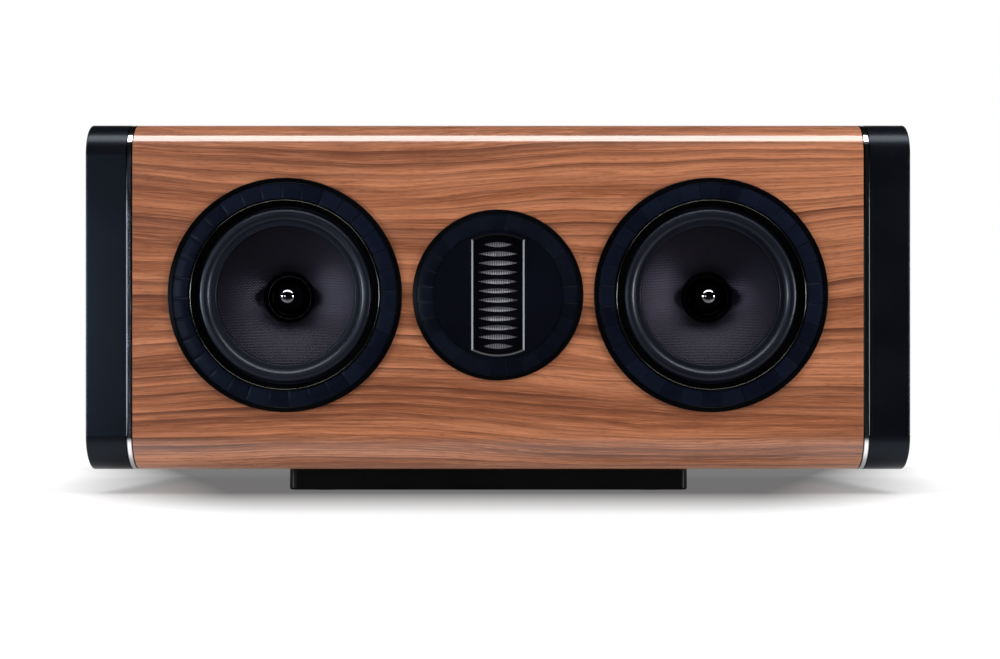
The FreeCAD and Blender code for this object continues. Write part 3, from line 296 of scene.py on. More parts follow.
@dataclass(frozen=True)
class Walnut(Finish):
    """Walnut veneer with its grain along X, under clear gloss lacquer."""

    pale: Colour = (0.43, 0.163, 0.076)
    warm: Colour = (0.25, 0.082, 0.033)
    bright: Colour = (0.51, 0.205, 0.102)
    streak: Colour = (0.075, 0.020, 0.008)
    pore: Colour = (0.06, 0.016, 0.007)
    sway: float = 17 * MM
    sway_cell: Point = (0.38, 0.11, 0.11)
    wander: float = 5 * MM
    wander_cell: Point = (0.18, 0.05, 0.05)
    bend_span: Span = (0.2, 0.8)
    ring: float = 7.6 * MM
    ring_patch: Point = (0.30, 0.018, 0.018)
    line: float = 2.6 * MM
    line_patch: Point = (0.10, 0.006, 0.006)
    line_curve: float = 1.6
    line_strength: Span = (0.2, 1.2)
    patch_span: Span = (0.32, 0.56)
    patch_low: float = 0.15
    tone_cell: Point = (0.50, 0.014, 0.014)
    tone_span: Span = (0.40, 0.58)
    heart_cell: Point = (0.60, 0.026, 0.026)
    fibre_cell: Point = (0.030, 0.0009, 0.0009)
    dash_cell: Point = (0.007, 0.0007, 0.0007)
    dash_span: Span = (0.60, 0.74)
    dash_depth: float = 0.02 * MM
    middle: float = 138 * MM
    front: float = -151.5 * MM

    def paint(self, graph: ShaderGraph) -> None:
        """Layer broad tones, growth rings, fine lines, fibres and pores, drawn out along the grain.

        Args:
            graph: The veneer's graph.
        """
        spot = graph.spot()
        sway = graph.noise(graph.cells(self.sway_cell, spot=spot), detail=0.0)
        wander = graph.noise(graph.cells(self.wander_cell, spot=spot))
        rise = graph.maths(
            "ADD", graph.remap(sway, *self.bend_span, -self.sway, self.sway),
            graph.remap(wander, *self.bend_span, -self.wander, self.wander))
        lift = graph.add("ShaderNodeCombineXYZ", {"Z": rise})
        grain = graph.add("ShaderNodeVectorMath", {0: spot, 1: lift}, operation="ADD")
        across = graph.maths("ADD", self.wrap(graph, spot), rise)
        rings = self.paint_lines(graph, grain, across, self.ring, self.ring_patch)
        lines = self.paint_lines(graph, grain, across, self.line, self.line_patch)
        tone = graph.noise(graph.cells(self.tone_cell, spot=grain), detail=3.0)
        heart = graph.noise(graph.cells(self.heart_cell, spot=grain))
        fibre = graph.noise(graph.cells(self.fibre_cell, spot=grain))
        dash = graph.noise(graph.cells(self.dash_cell, spot=grain), detail=1.0)
        colour = graph.mix(graph.remap(tone, *self.tone_span), self.warm, self.pale)
        layers = (
            (heart, 0.50, 0.64, 0.42, self.streak),
            (fibre, 0.52, 0.70, 0.50, self.bright),
            (rings, 0.00, 1.20, 1.14, self.streak),
            (lines, 0.00, 1.20, 0.72, self.streak),
            (fibre, 0.48, 0.28, 0.50, self.streak),
            (dash, 0.56, 0.74, 0.35, self.pore))
        for value, start, full, share, stain in layers:
            colour = graph.mix(graph.remap(value, start, full, 0.0, share), colour, stain)
        pits = graph.remap(dash, *self.dash_span, 1.0, 0.0)
        graph.shade({
            "Base Color": colour,
            "Specular IOR Level": 0.15,
            "Roughness": graph.spread(fibre, 0.38, 0.52),
            "Normal": graph.bump(pits, self.dash_depth),
            "Coat Weight": 1.0,
            "Coat Roughness": 0.03,
            "Coat IOR": 1.6,
        })

    def wrap(self, graph: ShaderGraph, spot: Socket) -> Socket:
        """Measure across the grain, up the front and on round both edges to the back.

        Args:
            graph: The veneer's graph.
            spot: Where the surface is.

        Returns:
            The distance, as a veneer wrapped round the cabinet has it.
        """
        height = graph.axis(spot, "Z")
        back = graph.maths("SUBTRACT", graph.axis(spot, "Y"), self.front)
        half = graph.maths("SIGN", graph.maths("SUBTRACT", height, self.middle))
        return graph.maths("MULTIPLY_ADD", back, half, height)

    def paint_lines(
        self, graph: ShaderGraph, grain: Socket, across: Socket, pitch: float, patch: Point
    ) -> Socket:
        """Draw long lines along the grain, each as strong as chance has it and sharp on one side.

        Args:
            graph: The veneer's graph.
            grain: Coordinates bent along the grain.
            across: Distance across the grain.
            pitch: How far apart the lines are.
            patch: The size of the patches in which they come and go.

        Returns:
            How strong a line is at each point.
        """
        count = graph.maths("DIVIDE", across, pitch)
        chance = graph.add(
            "ShaderNodeTexWhiteNoise", {"W": graph.maths("FLOOR", count)}, "Value",
            noise_dimensions="1D")
        late = graph.maths("POWER", graph.maths("FRACT", count), self.line_curve)
        strong = graph.maths("MULTIPLY", late, graph.remap(chance, 0.0, 1.0, *self.line_strength))
        fade = graph.noise(graph.cells(patch, spot=grain))
        shown = graph.remap(fade, *self.patch_span, self.patch_low, 1.0)
        return graph.maths("MULTIPLY", strong, shown)


@dataclass(frozen=True)
class Coated(Finish):
    """Paint, lacquer or moulded plastic with a fine grain and a slow drift of tone."""

    colour: Colour = (0.01, 0.01, 0.01)
    roughness: float = 0.35
    uneven: float = 0.04
    drift: float = 0.25
    drift_cell: float = 45 * MM
    grain_cell: float = 0.9 * MM
    grain_depth: float = 0.01 * MM
    gloss: float = 0.5
    tint: Colour = (1.0, 1.0, 1.0)

    def paint(self, graph: ShaderGraph) -> None:
        """Vary tone and gloss slowly, and roughen the surface with its grain.

        Args:
            graph: The coating's graph.
        """
        slow = graph.mottle(self.drift_cell, detail=3.0)
        dim = scaled(self.colour, 1 - self.drift)
        bright = scaled(self.colour, 1 + self.drift)
        smooth = self.roughness * (1 - self.uneven)
        rough = self.roughness * (1 + self.uneven)
        graph.shade({
            "Base Color": graph.mix(graph.spread(slow), dim, bright),
            "Roughness": graph.spread(slow, smooth, rough),
            "Specular IOR Level": self.gloss,
            "Specular Tint": self.tint,
            "Normal": graph.bump(graph.mottle(self.grain_cell), self.grain_depth),
        })


@dataclass(frozen=True)
class Metal(Finish):
    """Bare or plated metal with fine marks drawn out along one direction."""

    colour: Colour = (0.8, 0.8, 0.82)
    roughness: float = 0.1
    uneven: float = 0.3
    mark: Point = (0.6 * MM, 0.6 * MM, 12 * MM)
    mark_depth: float = 0.002 * MM
    tarnish: float = 0.12
    tarnish_cell: float = 18 * MM

    def paint(self, graph: ShaderGraph) -> None:
        """Scratch the metal finely and let its gloss drift.

        Args:
            graph: The metal's graph.
        """
        marks = graph.noise(graph.cells(self.mark))
        slow = graph.mottle(self.tarnish_cell)
        dull = scaled(self.colour, 1 - self.tarnish)
        smooth = self.roughness * (1 - self.uneven)
        rough = self.roughness * (1 + self.uneven)
        graph.shade({
            "Base Color": graph.mix(graph.spread(slow), dull, self.colour),
            "Metallic": 1.0,
            "Roughness": graph.spread(marks, smooth, rough),
            "Normal": graph.bump(marks, self.mark_depth),
        })


@dataclass(frozen=True)
class BandMetal(Metal):
    """Polished metal of a band round the cabinet, with painted shade along its two rounded edges.
    """

    inner: float = 252.4 * MM
    outer: float = 257.0 * MM
    edge: float = 1.3 * MM
    # Colour of the painted shade on the band's rounded edges.
    dark: Colour = (0.025, 0.025, 0.026)

    def paint(self, graph: ShaderGraph) -> None:
        """Paint shade on the metal where the band's edges turn away.

        Args:
            graph: The metal's graph.
        """
        super().paint(graph)
        across = graph.maths("ABSOLUTE", graph.axis(graph.spot(), "X"))
        from_inner = graph.maths("SUBTRACT", across, self.inner)
        from_outer = graph.maths("SUBTRACT", self.outer, across)
        reach = graph.maths("MINIMUM", from_inner, from_outer)
        # Painted shade: dark within half an edge of either side, full colour from a whole edge in.
        share = graph.remap(reach, self.edge / 2, self.edge)
        graph.shade({"Base Color": graph.mix(share, self.dark, self.colour)})


@dataclass(frozen=True)
class Tiles(Finish):
    """Blue-black satin tiles, each a little lighter or darker than the next."""

    dark: Colour = (0.0018, 0.0026, 0.0068)
    pale: Colour = (0.0040, 0.0056, 0.0125)
    drift: float = 0.15
    drift_cell: float = 9 * MM
    grain_cell: float = 0.5 * MM
    grain_depth: float = 0.008 * MM

    def paint(self, graph: ShaderGraph) -> None:
        """Take each tile's tone from the mesh and add a fine satin grain.

        Args:
            graph: The tiles' graph.
        """
        tone = graph.add("ShaderNodeAttribute", {}, "Fac", attribute_name=TILE_TONE)
        slow = graph.spread(graph.mottle(self.drift_cell), -self.drift, self.drift)
        graph.shade({
            "Base Color": graph.mix(graph.maths("ADD", tone, slow), self.dark, self.pale),
            "Roughness": graph.remap(tone, 0.0, 1.0, 0.32, 0.26),
            "Specular IOR Level": 0.06,
            "Normal": graph.bump(graph.mottle(self.grain_cell), self.grain_depth),
        })


@dataclass(frozen=True)
class PleatedFoil(Finish):
    """Bright foil on the folds of a film, with shade painted in towards the valleys between them.
    """

    foil: Colour = (0.95, 0.95, 0.98)
    # Colour of the painted shade deep in the valleys.
    valley_shade: Colour = (0.30, 0.30, 0.33)
    front: float = -142.3 * MM
    depth: float = 3.0 * MM
    crease: Point = (0.3 * MM, 0.3 * MM, 6 * MM)
    crease_depth: float = 0.01 * MM

    def paint(self, graph: ShaderGraph) -> None:
        """Paint shade on the film by its depth and crease it finely along its folds.

        Args:
            graph: The film's graph.
        """
        depth = graph.axis(graph.spot(), "Y")
        # Painted shade: full foil at the front of the folds, valley colour a depth further back.
        share = graph.remap(depth, self.front, self.front + self.depth)
        crease = graph.noise(graph.cells(self.crease))
        graph.shade({
            "Base Color": graph.mix(share, self.foil, self.valley_shade),
            "Metallic": 0.15,
            "Roughness": graph.spread(crease, 0.26, 0.40),
            "Normal": graph.bump(crease, self.crease_depth),
        })


@dataclass(frozen=True)
class WovenCone(Finish):
    """Dark cloth pressed into a cone: level and upright threads that pass over and under."""

    dark: Colour = (0.0010, 0.0009, 0.0012)
    pale: Colour = (0.0050, 0.0045, 0.0065)
    lustre: Colour = (0.76, 0.69, 1.0)
    thread: float = 1.1 * MM
    relief: float = 0.16 * MM
    wear: float = 0.7
    wear_cell: float = 7 * MM
    centre: Point = (0, 0, 0)

    def paint(self, graph: ShaderGraph) -> None:
        """Raise the threads where they pass over, and shade them where they dive.

        Args:
            graph: The cloth's graph.
        """
        cells = graph.cells((self.thread,) * 3, centre=self.centre)
        across, along = (
            graph.maths("SINE", graph.maths("MULTIPLY", graph.axis(cells, letter), math.pi))
            for letter in "XZ")
        over = graph.remap(graph.maths("MULTIPLY", across, along), -1.0, 1.0)
        level = graph.maths("ABSOLUTE", along)
        height = graph.maths("MULTIPLY", graph.maths("ADD", over, level), 0.5)
        worn = graph.spread(graph.mottle(self.wear_cell), self.wear, 1.0)
        graph.shade({
            "Base Color": graph.mix(graph.maths("MULTIPLY", over, worn), self.dark, self.pale),
            "Roughness": 0.34,
            "Specular IOR Level": 0.13,
            "Specular Tint": self.lustre,
            "Normal": graph.bump(height, self.relief),
        })


@dataclass(frozen=True)
class Cloth(Finish):
    """Felt or stiffened cloth with a soft nap."""

    colour: Colour = (0.1, 0.1, 0.1)
    shadow: float = 0.6
    nap: float = 1.2 * MM
    nap_span: Span = (0.35, 0.65)
    relief: float = 0.4 * MM

    def paint(self, graph: ShaderGraph) -> None:
        """Tangle the fibres and let them catch light at a slant.

        Args:
            graph: The cloth's graph.
        """
        tangle = graph.mottle(self.nap, detail=4.0, roughness=0.65)
        share = graph.remap(tangle, *self.nap_span)
        graph.shade({
            "Base Color": graph.mix(share, scaled(self.colour, self.shadow), self.colour),
            "Roughness": 0.9,
            "Normal": graph.bump(tangle, self.relief),
            "Sheen Weight": 0.3,
        })


@dataclass(frozen=True)
class Winding(Finish):
    """Enamelled wire wound in close turns along an axis."""

    colour: Colour = (0.62, 0.26, 0.12)
    shadow: float = 0.25
    turn: Point = (1.0, 0.7 * MM, 1.0)
    relief: float = 0.25 * MM

    def paint(self, graph: ShaderGraph) -> None:
        """Round each turn of the wire and paint shade into the grooves between turns.

        Args:
            graph: The wire's graph.
        """
        wave = graph.add(
            "ShaderNodeTexWave", {"Vector": graph.cells(self.turn), "Scale": 0.5}, "Fac",
            wave_type="BANDS", bands_direction="DIAGONAL", wave_profile="SIN")
        graph.shade({
            "Base Color": graph.mix(wave, scaled(self.colour, self.shadow), self.colour),
            "Metallic": 0.85,
            "Roughness": 0.32,
            "Normal": graph.bump(wave, self.relief),
        })


@dataclass(frozen=True)
class ClearCap(Finish):
    """Tinted clear plastic, a little cloudy inside."""

    colour: Colour = (0.5, 0.02, 0.02)
    shadow: float = 0.6
    cloud_cell: float = 4 * MM

    def paint(self, graph: ShaderGraph) -> None:
        """Cloud the tint and keep the skin glossy.

        Args:
            graph: The plastic's graph.
        """
        cloud = graph.mottle(self.cloud_cell, detail=3.0)
        deep = scaled(self.colour, self.shadow)
        graph.shade({
            "Base Color": graph.mix(graph.spread(cloud), deep, self.colour),
            "Roughness": graph.spread(cloud, 0.10, 0.18),
            "Transmission Weight": 0.12,
            "Coat Weight": 0.6,
            "Coat Roughness": 0.05,
        })


WALNUT = Walnut("walnut_lacquer")
CHEEK_BLACK = Coated(
    "cheek_satin_black", colour=(0.0026, 0.0030, 0.0045), roughness=0.25, gloss=0.15,
    tint=(0.72, 0.84, 1.0))
BACK_BLACK = Coated(
    "back_satin_black", colour=(0.012, 0.012, 0.013), roughness=0.48, grain_depth=0.03 * MM)
PLINTH_BLACK = Coated("plinth_black", colour=(0.0020, 0.0018, 0.0020), roughness=0.30, gloss=0.07)
FIBREBOARD = Coated(
    "raw_fibreboard", colour=(0.42, 0.30, 0.19), roughness=0.85, grain_depth=0.08 * MM)
FELT = Cloth("lining_felt", colour=(0.12, 0.12, 0.13), nap=2.0 * MM, relief=0.8 * MM)
BRIGHT_TRIM = BandMetal(
    "bright_trim", colour=(0.66, 0.66, 0.68), roughness=0.09, mark_depth=0.0005 * MM)
FOOT_RUBBER = Coated(
    "foot_rubber", colour=(0.016, 0.016, 0.016), roughness=0.8, grain_depth=0.05 * MM)
DARK_STEEL = Metal("dark_steel", colour=(0.22, 0.22, 0.23), roughness=0.35, mark=(2 * MM,) * 3)
BASKET_ALLOY = Coated(
    "basket_black_alloy", colour=(0.03, 0.03, 0.032), roughness=0.55, grain_depth=0.06 * MM)
GASKET_FOAM = Coated("gasket_foam", colour=(0.02, 0.02, 0.02), roughness=0.95, grain_depth=0.2 * MM)
SURROUND_RUBBER = Coated(
    "surround_rubber", colour=(0.0045, 0.0050, 0.0085), roughness=0.34, grain_cell=0.5 * MM,
    gloss=0.26,
    tint=(0.80, 0.88, 1.0))
FORMER_FOIL = Metal("former_foil", colour=(0.26, 0.25, 0.24), roughness=0.20)
COPPER_COIL = Winding("copper_coil")
SPIDER_CLOTH = Cloth("spider_cloth", colour=(0.5, 0.34, 0.14), nap=0.8 * MM, relief=0.2 * MM)
MOTOR_STEEL = Metal("motor_steel", colour=(0.10, 0.10, 0.105), roughness=0.42, mark=(3 * MM,) * 3)
FERRITE = Coated("ferrite", colour=(0.05, 0.05, 0.053), roughness=0.7, grain_depth=0.06 * MM)
BLACK_CHROME = Metal(
    "plug_black_chrome", colour=(0.18, 0.17, 0.18), roughness=0.07, mark=(2 * MM,) * 3)
RING_GLOSS = Coated("ring_gloss_black", colour=(0.0012, 0.0012, 0.0015), roughness=0.20, gloss=0.03)
RING_BEAD = Metal("ring_bead", colour=(0.09, 0.088, 0.075), roughness=0.12)
BEVEL_BLACK = Coated("bevel_black", colour=(0.0008, 0.0008, 0.001), roughness=0.5, gloss=0.0)
RING_TILES = Tiles("ring_tiles")
PLATE_TILES = Tiles("plate_tiles", dark=(0.0014, 0.0020, 0.0044), pale=(0.0030, 0.0040, 0.0078))
# Black of the cone's neck: its glue joint, spread wider as painted shade round the plug.
NECK_SHADE_BLACK = Coated("neck_shade_black", colour=(0.0008, 0.0008, 0.001), roughness=0.7, gloss=0.0)
GROOVE_BLACK = Coated("groove_black", colour=(0.002, 0.002, 0.0025), roughness=0.6)
PLATE_BLACK = Coated(
    "plate_satin_black", colour=(0.0012, 0.0014, 0.0032), roughness=0.32, gloss=0.05)
CHAMFER_GLOSS = Coated("chamfer_gloss", colour=(0.002, 0.002, 0.0025), roughness=0.16, gloss=0.08)
POLE_BLACK = Coated("pole_plate_black", colour=(0.0010, 0.0010, 0.0018), roughness=0.34, gloss=0.03)
FOIL = PleatedFoil("film_foil")
MOULDED = Coated(
    "moulded_black", colour=(0.016, 0.016, 0.017), roughness=0.5, grain_depth=0.05 * MM)
GOLD = Metal("gold_plate", colour=(0.90, 0.66, 0.28), roughness=0.18, mark=(1.5 * MM,) * 3)
RED_CAP = ClearCap("red_cap", colour=(0.50, 0.015, 0.015))
BLACK_CAP = ClearCap("black_cap", colour=(0.015, 0.015, 0.015))
BOARD_GREEN = Coated(
    "board_green", colour=(0.02, 0.16, 0.06), roughness=0.5, drift=0.4, drift_cell=8 * MM)
CAPACITOR_SLEEVE = Coated("capacitor_sleeve", colour=(0.5, 0.36, 0.06), roughness=0.35)


class Outline:
    """A wire drawn in a half-plane, with radius along X and height along Z, ready to be spun."""

    def __init__(self, mesh: bmesh.types.BMesh, radius: float, height: float) -> None:
        """Put down the first point.

        Args:
            mesh: The mesh that takes the wire.
            radius: Distance from the axis.
            height: Place along the axis.
        """
        self.mesh = mesh
        self.first = mesh.verts.new((radius, 0, height))
        self.last = self.first

    def line(self, *points: Span) -> None:
        """Draw straight stretches from point to point.

        Args:
            *points: Each point's distance from the axis and its place along the axis.
        """
        for radius, height in points:
            end = self.mesh.verts.new((radius, 0, height))
            self.mesh.edges.new((self.last, end))
            self.last = end

    def arc(self, radius: float, height: float, bend: float, steps: int) -> None:
        """Draw the shorter arc to a point.

        Args:
            radius: The end's distance from the axis.
            height: The end's place along the axis.
            bend: The arc's radius, positive where it turns left on its way.
            steps: How many straight bits make it up.
        """
        start = self.last.co.copy()
        chord = Vector((radius, 0, height)) - start
        half = chord.length / 2
        left = Vector((-chord.z, 0, chord.x)).normalized()
        rise = math.copysign(math.sqrt(bend * bend - half * half), bend)
        angle = math.copysign(2 * math.asin(half / abs(bend)), bend)
        made = bmesh.ops.spin(
            self.mesh, geom=[self.last], cent=start + chord / 2 + left * rise, axis=(0, -1, 0),
            angle=angle, steps=steps)
        self.last = next(
            item for item in made["geom_last"] if isinstance(item, bmesh.types.BMVert))

    def close(self) -> None:
        """Draw the last stretch back to the first point."""
        self.mesh.edges.new((self.last, self.first))

    def spin(self, steps: int) -> None:
        """Turn the wire once round its axis into a closed skin.

        Args:
            steps: How many stations the turn has.
        """
        wire = [*self.mesh.verts, *self.mesh.edges]
        bmesh.ops.spin(
            self.mesh, geom=wire, cent=(0, 0, 0), axis=(0, 0, 1), angle=FULL_TURN, steps=steps,
            use_merge=True)
        bmesh.ops.remove_doubles(self.mesh, verts=self.mesh.verts, dist=FINE_WELD)
        bmesh.ops.recalc_face_normals(self.mesh, faces=self.mesh.faces)


def stand(mesh: bmesh.types.BMesh, place: Point) -> None:
    """Turn a mesh made about +Z to face the front, and take it to its place."""
    turn = Matrix.Rotation(QUARTER_TURN, 4, "X")
    bmesh.ops.transform(mesh, matrix=Matrix.Translation(place) @ turn, verts=mesh.verts)


def paint_zones(mesh: bmesh.types.BMesh, zone: Callable[[float, float], int]) -> None:
    """Give each face of a turned mesh its finish by where it lies.

    Args:
        mesh: A mesh still standing about +Z.
        zone: Takes a radius and a height, and gives the finish's number.
    """
    for face in mesh.faces:
        middle = face.calc_center_median()
        face.material_index = zone(math.hypot(middle.x, middle.y), middle.z)


def put_in_scene(
    mesh: bmesh.types.BMesh, name: str, finishes: Sequence[Finish], crease: float = CREASE
) -> bpy.types.Object:
    """Make an object of a finished mesh.

    Args:
        mesh: The mesh, which is used up.
        name: The piece's name.
        finishes: Its finishes, by their numbers on the faces.
        crease: The angle from which an edge stays sharp.

    Returns:
        The new object, at the origin.
    """
    data = bpy.data.meshes.new(name)
    mesh.to_mesh(data)
    mesh.free()
    data.shade_smooth()
    data.set_sharp_from_angle(angle=crease)
    for finish in finishes:
        data.materials.append(material_of(finish))
    piece = bpy.data.objects.new(name, data)
    bpy.context.scene.collection.objects.link(piece)
    return piece


def hand_over(piece: bpy.types.Object, body: str, node: str) -> None:
    """Let a piece ride on a body and stand for a CAD node.

    Args:
        piece: The new piece.
        body: The body that carries it.
        node: The node it stands for.
    """
    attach(piece, body)
    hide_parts(node)
    LOG.info("%s: %d faces on %s, for %s", piece.name, len(piece.data.polygons), body, node)


def dress(node: str, finish: Finish) -> None:
    """Give a CAD node its finish.

    Args:
        node: The node's name.
        finish: What it is made of.
    """
    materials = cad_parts[node].data.materials
    materials.clear()
    materials.append(material_of(finish))
    LOG.info("%s: %s", node, finish.name)


def dress_all(single: dict[str, Finish], paired: dict[str, Finish]) -> None:
    """Give CAD nodes their finishes.

    Args:
        single: A finish for each node.
        paired: A finish for the left and right nodes of each pair, by the name they share.
    """
    for node, finish in single.items():
        dress(node, finish)
    for name, finish in paired.items():
        for side in Side:
            dress(f"{name}_{side.value}", finish)


@dataclass
class TileBand:
    """A ring of tiles parted by fine grooves, in a seat that falls outwards to a rim."""

    inner: float
    outer: float
    top: float
    count: int
    turn: float
    seed: int = 5
    fall: float = 0.6 * MM
    thickness: float = 1.0 * MM
    groove: float = 0.45 * MM
    edge: float = 0.10 * MM
    corner: float = math.radians(50)
    steps: int = 6
    seat_depth: float = 0.7 * MM
    seat_gap: float = 0.2 * MM
    rim_round: float = 0.5 * MM
    rim_bend: float = 0.55 * MM

    def draw_seat(self, outline: Outline, inner: float, outer: float, rim: float) -> None:
        """Draw the seat under the tiles and the rim outside it, down to the cabinet's face.

        Args:
            outline: The ring's outline, drawn as far as the seat's inner wall.
            inner: The seat's inner radius.
            outer: Its outer radius.
            rim: The radius of the whole ring.
        """
        floor = self.top - self.seat_depth
        outline.line(
            (inner, floor), (outer, floor - self.fall), (outer, self.top),
            (rim - self.rim_round, self.top - self.rim_round))
        outline.arc(rim, self.top - 2 * self.rim_round, -self.rim_bend, steps=6)
        outline.line((rim, 0))

    def add_to(self, mesh: bmesh.types.BMesh, zone: int) -> None:
        """Add the tiles to a ring's mesh.

        Args:
            mesh: A ring that still stands about +Z.
            zone: The tiles' finish number.
        """
        tone = mesh.faces.layers.float.new(TILE_TONE)
        chance = random.Random(self.seed)
        pitch = FULL_TURN / self.count
        gap = self.groove / ((self.inner + self.outer) / 2)
        for index in range(self.count):
            start = math.radians(self.turn) + index * pitch + gap / 2
            faces = self.add_tile(mesh, start, pitch - gap)
            shade = chance.random()
            for face in faces:
                face.material_index = zone
                face[tone] = shade

    def add_tile(
        self, mesh: bmesh.types.BMesh, start: float, angle: float
    ) -> list[bmesh.types.BMFace]:
        """Sweep one tile's section round part of the ring and soften its upper edges.

        Args:
            mesh: The ring's mesh.
            start: Where the tile begins, in radians.
            angle: How far it reaches.

        Returns:
            The tile's faces.
        """
        before = set(mesh.faces)
        low = self.top - self.fall
        corners = (
            (self.inner, self.top - self.thickness), (self.outer, low - self.thickness),
            (self.outer, low), (self.inner, self.top))
        verts = [mesh.verts.new((radius, 0, height)) for radius, height in corners]
        section = mesh.faces.new(verts)
        turn = Matrix.Rotation(start, 3, "Z")
        bmesh.ops.rotate(mesh, cent=(0, 0, 0), matrix=turn, verts=verts)
        bmesh.ops.spin(
            mesh, geom=[section, *section.edges, *section.verts], cent=(0, 0, 0), axis=(0, 0, 1),
            angle=angle, steps=self.steps)
        faces = [face for face in mesh.faces if face not in before]
        bmesh.ops.recalc_face_normals(mesh, faces=faces)
        middle = (self.top + low) / 2 - self.thickness / 2
        rim = {
            edge for face in faces for edge in face.edges
            if edge.calc_face_angle(0) > self.corner
            and all(vert.co.z > middle for vert in edge.verts)}
        bmesh.ops.bevel(
            mesh, geom=list(rim), offset=self.edge, offset_type="OFFSET", affect="EDGES",
            segments=2, profile=0.5, material=-1)
        return [face for face in mesh.faces if face not in before]


@dataclass
class Woofer:
    """One woofer: its ring, surround, woven cone, plug and what is behind them."""

    side: Side
    tile_turn: float
    tile_count: int = 32
    tile_inner: float = 66.5 * MM
    tile_outer: float = 77.5 * MM
    tile_recess: float = 0.6 * MM
    ring_bore: float = 61.5 * MM
    bevel_foot: float = -0.8 * MM
    bead_middle: float = 65.15 * MM
    bead_radius: float = 0.22 * MM
    bead_slack: float = 1.001
    rim_inner: float = 77.9 * MM
    neck: float = 15.2 * MM
    neck_depth: float = 25 * MM
    neck_wall: float = 1.6 * MM
    neck_rim: float = 17.8 * MM
    cone_rim: float = 51.5 * MM
    flare: float = 110 * MM
    wall: float = 0.9 * MM
    glue_inner: float = 48.3 * MM
    glue_round: float = 0.4 * MM
    roll_outer: float = 60.9 * MM
    roll_bend: float = 4.84 * MM
    roll_crease: float = math.radians(60)
    landing: float = 66.8 * MM
    landing_depth: float = 4 * MM
    rubber: float = 1 * MM
    plug_radius: float = 14 * MM
    plug_shoulder: float = 27 * MM
    plug_foot: float = 44 * MM
    plug_tip: float = 8 * MM
    plug_crease: float = math.radians(70)
    plug_stations: int = 96
    nose_width: float = 5.5 * MM
    nose_bend: float = 7 * MM
    flank_bend: float = 80 * MM
    spider_shelf: float = 6 * MM
    spider_collar: float = 3 * MM
    stations: int = 192
    place: Vector = field(init=False)
    ring_outer: float = field(init=False)
    proud: float = field(init=False)

    def __post_init__(self) -> None:
        """Take the driver's place and its ring's size from the CAD parts."""
        low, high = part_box(self.node("trim_ring"))
        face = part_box(self.node("woofer_basket"))[0].y
        self.place = Vector(((low.x + high.x) / 2, face, (low.z + high.z) / 2))
        self.ring_outer = (high.x - low.x) / 2
        self.proud = face - low.y

    def node(self, piece: str) -> str:
        """Give the name of one of this woofer's nodes."""
        return f"{piece}_{self.side.value}"

    def build(self) -> None:
        """Make every piece of the woofer."""
        self.build_ring()
        self.build_surround()
        self.build_cone()
        self.build_plug()
        self.build_spider()
        self.dress_motor()

    def build_ring(self) -> None:
        """Spin the ring with its bevel, bead and rim, and set the tiles in its seat."""
        mesh = bmesh.new()
        lip = self.rubber - self.landing_depth
        bead_height = self.proud - self.bead_radius
        bead_inner = self.bead_middle - self.bead_radius
        bead_outer = self.bead_middle + self.bead_radius
        band = TileBand(
            self.tile_inner, self.tile_outer, self.proud - self.tile_recess, self.tile_count,
            self.tile_turn)
        seat_inner = self.tile_inner - band.seat_gap
        outline = Outline(mesh, self.ring_bore, lip)
        outline.line((self.ring_bore, self.bevel_foot), (bead_inner, bead_height))
        outline.arc(bead_outer, bead_height, -self.bead_radius * self.bead_slack, steps=10)
        outline.line((seat_inner, bead_height))
        band.draw_seat(outline, seat_inner, self.rim_inner, self.ring_outer)
        outline.line((self.landing, 0), (self.landing, lip))
        outline.close()
        outline.spin(self.stations)

        def zone(radius: float, height: float) -> RingZone:
            """Tell the ring's bevel, bead and seat from its rim.

            Args:
                radius: Distance from the axis.
                height: Place along the axis.

            Returns:
                The finish there.
            """
            if bead_inner < radius < bead_outer and height > bead_height:
                return RingZone.BEAD
            in_seat = seat_inner + band.seat_gap / 2 < radius < self.rim_inner - band.seat_gap / 4
            if in_seat and height < band.top - band.rim_round:
                return RingZone.GROOVE
            return RingZone.BEVEL if radius < bead_inner else RingZone.RIM

        paint_zones(mesh, zone)
        band.add_to(mesh, RingZone.TILES)
        stand(mesh, self.place)
        finishes = (RING_GLOSS, RING_BEAD, GROOVE_BLACK, RING_TILES, BEVEL_BLACK)
        piece = put_in_scene(mesh, self.node("driver_ring"), finishes)
        hand_over(piece, "cabinet", self.node("trim_ring"))

    def build_surround(self) -> None:
        """Spin the half-roll rubber surround between the cone and the cabinet."""
        mesh = bmesh.new()
        under = -self.landing_depth
        face = under + self.rubber
        outline = Outline(mesh, self.glue_inner, under)
        outline.line((self.glue_inner, face - self.glue_round))
        outline.arc(self.glue_inner + self.glue_round, face, -self.glue_round, steps=4)
        outline.line((self.cone_rim - self.glue_round, face), (self.cone_rim, face))
        outline.arc(self.roll_outer, face, -self.roll_bend, steps=28)
        outline.line(
            (self.landing, face), (self.landing, under), (self.roll_outer - self.rubber, under))
        outline.arc(self.cone_rim + self.rubber, under, self.roll_bend - self.rubber, steps=20)
        outline.close()
        outline.spin(self.stations)
        stand(mesh, self.place)
        piece = put_in_scene(
            mesh, self.node("rubber_surround"), [SURROUND_RUBBER], self.roll_crease)
        self.let_give(piece, self.roll_outer, self.cone_rim)
        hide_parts(self.node("woofer_surround"))

    def let_give(
        self, piece: bpy.types.Object, still: float, moving: float
    ) -> None:
        """Bake a ring's place into its mesh, and log the cone beside it.

        Args:
            piece: The ring, in place.
            still: The radius that stays with the cabinet. Not used.
            moving: The radius that goes with the cone. Not used.
        """
        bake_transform(piece)
        LOG.info("%s: gives between cabinet and %s", piece.name, self.node("cone"))

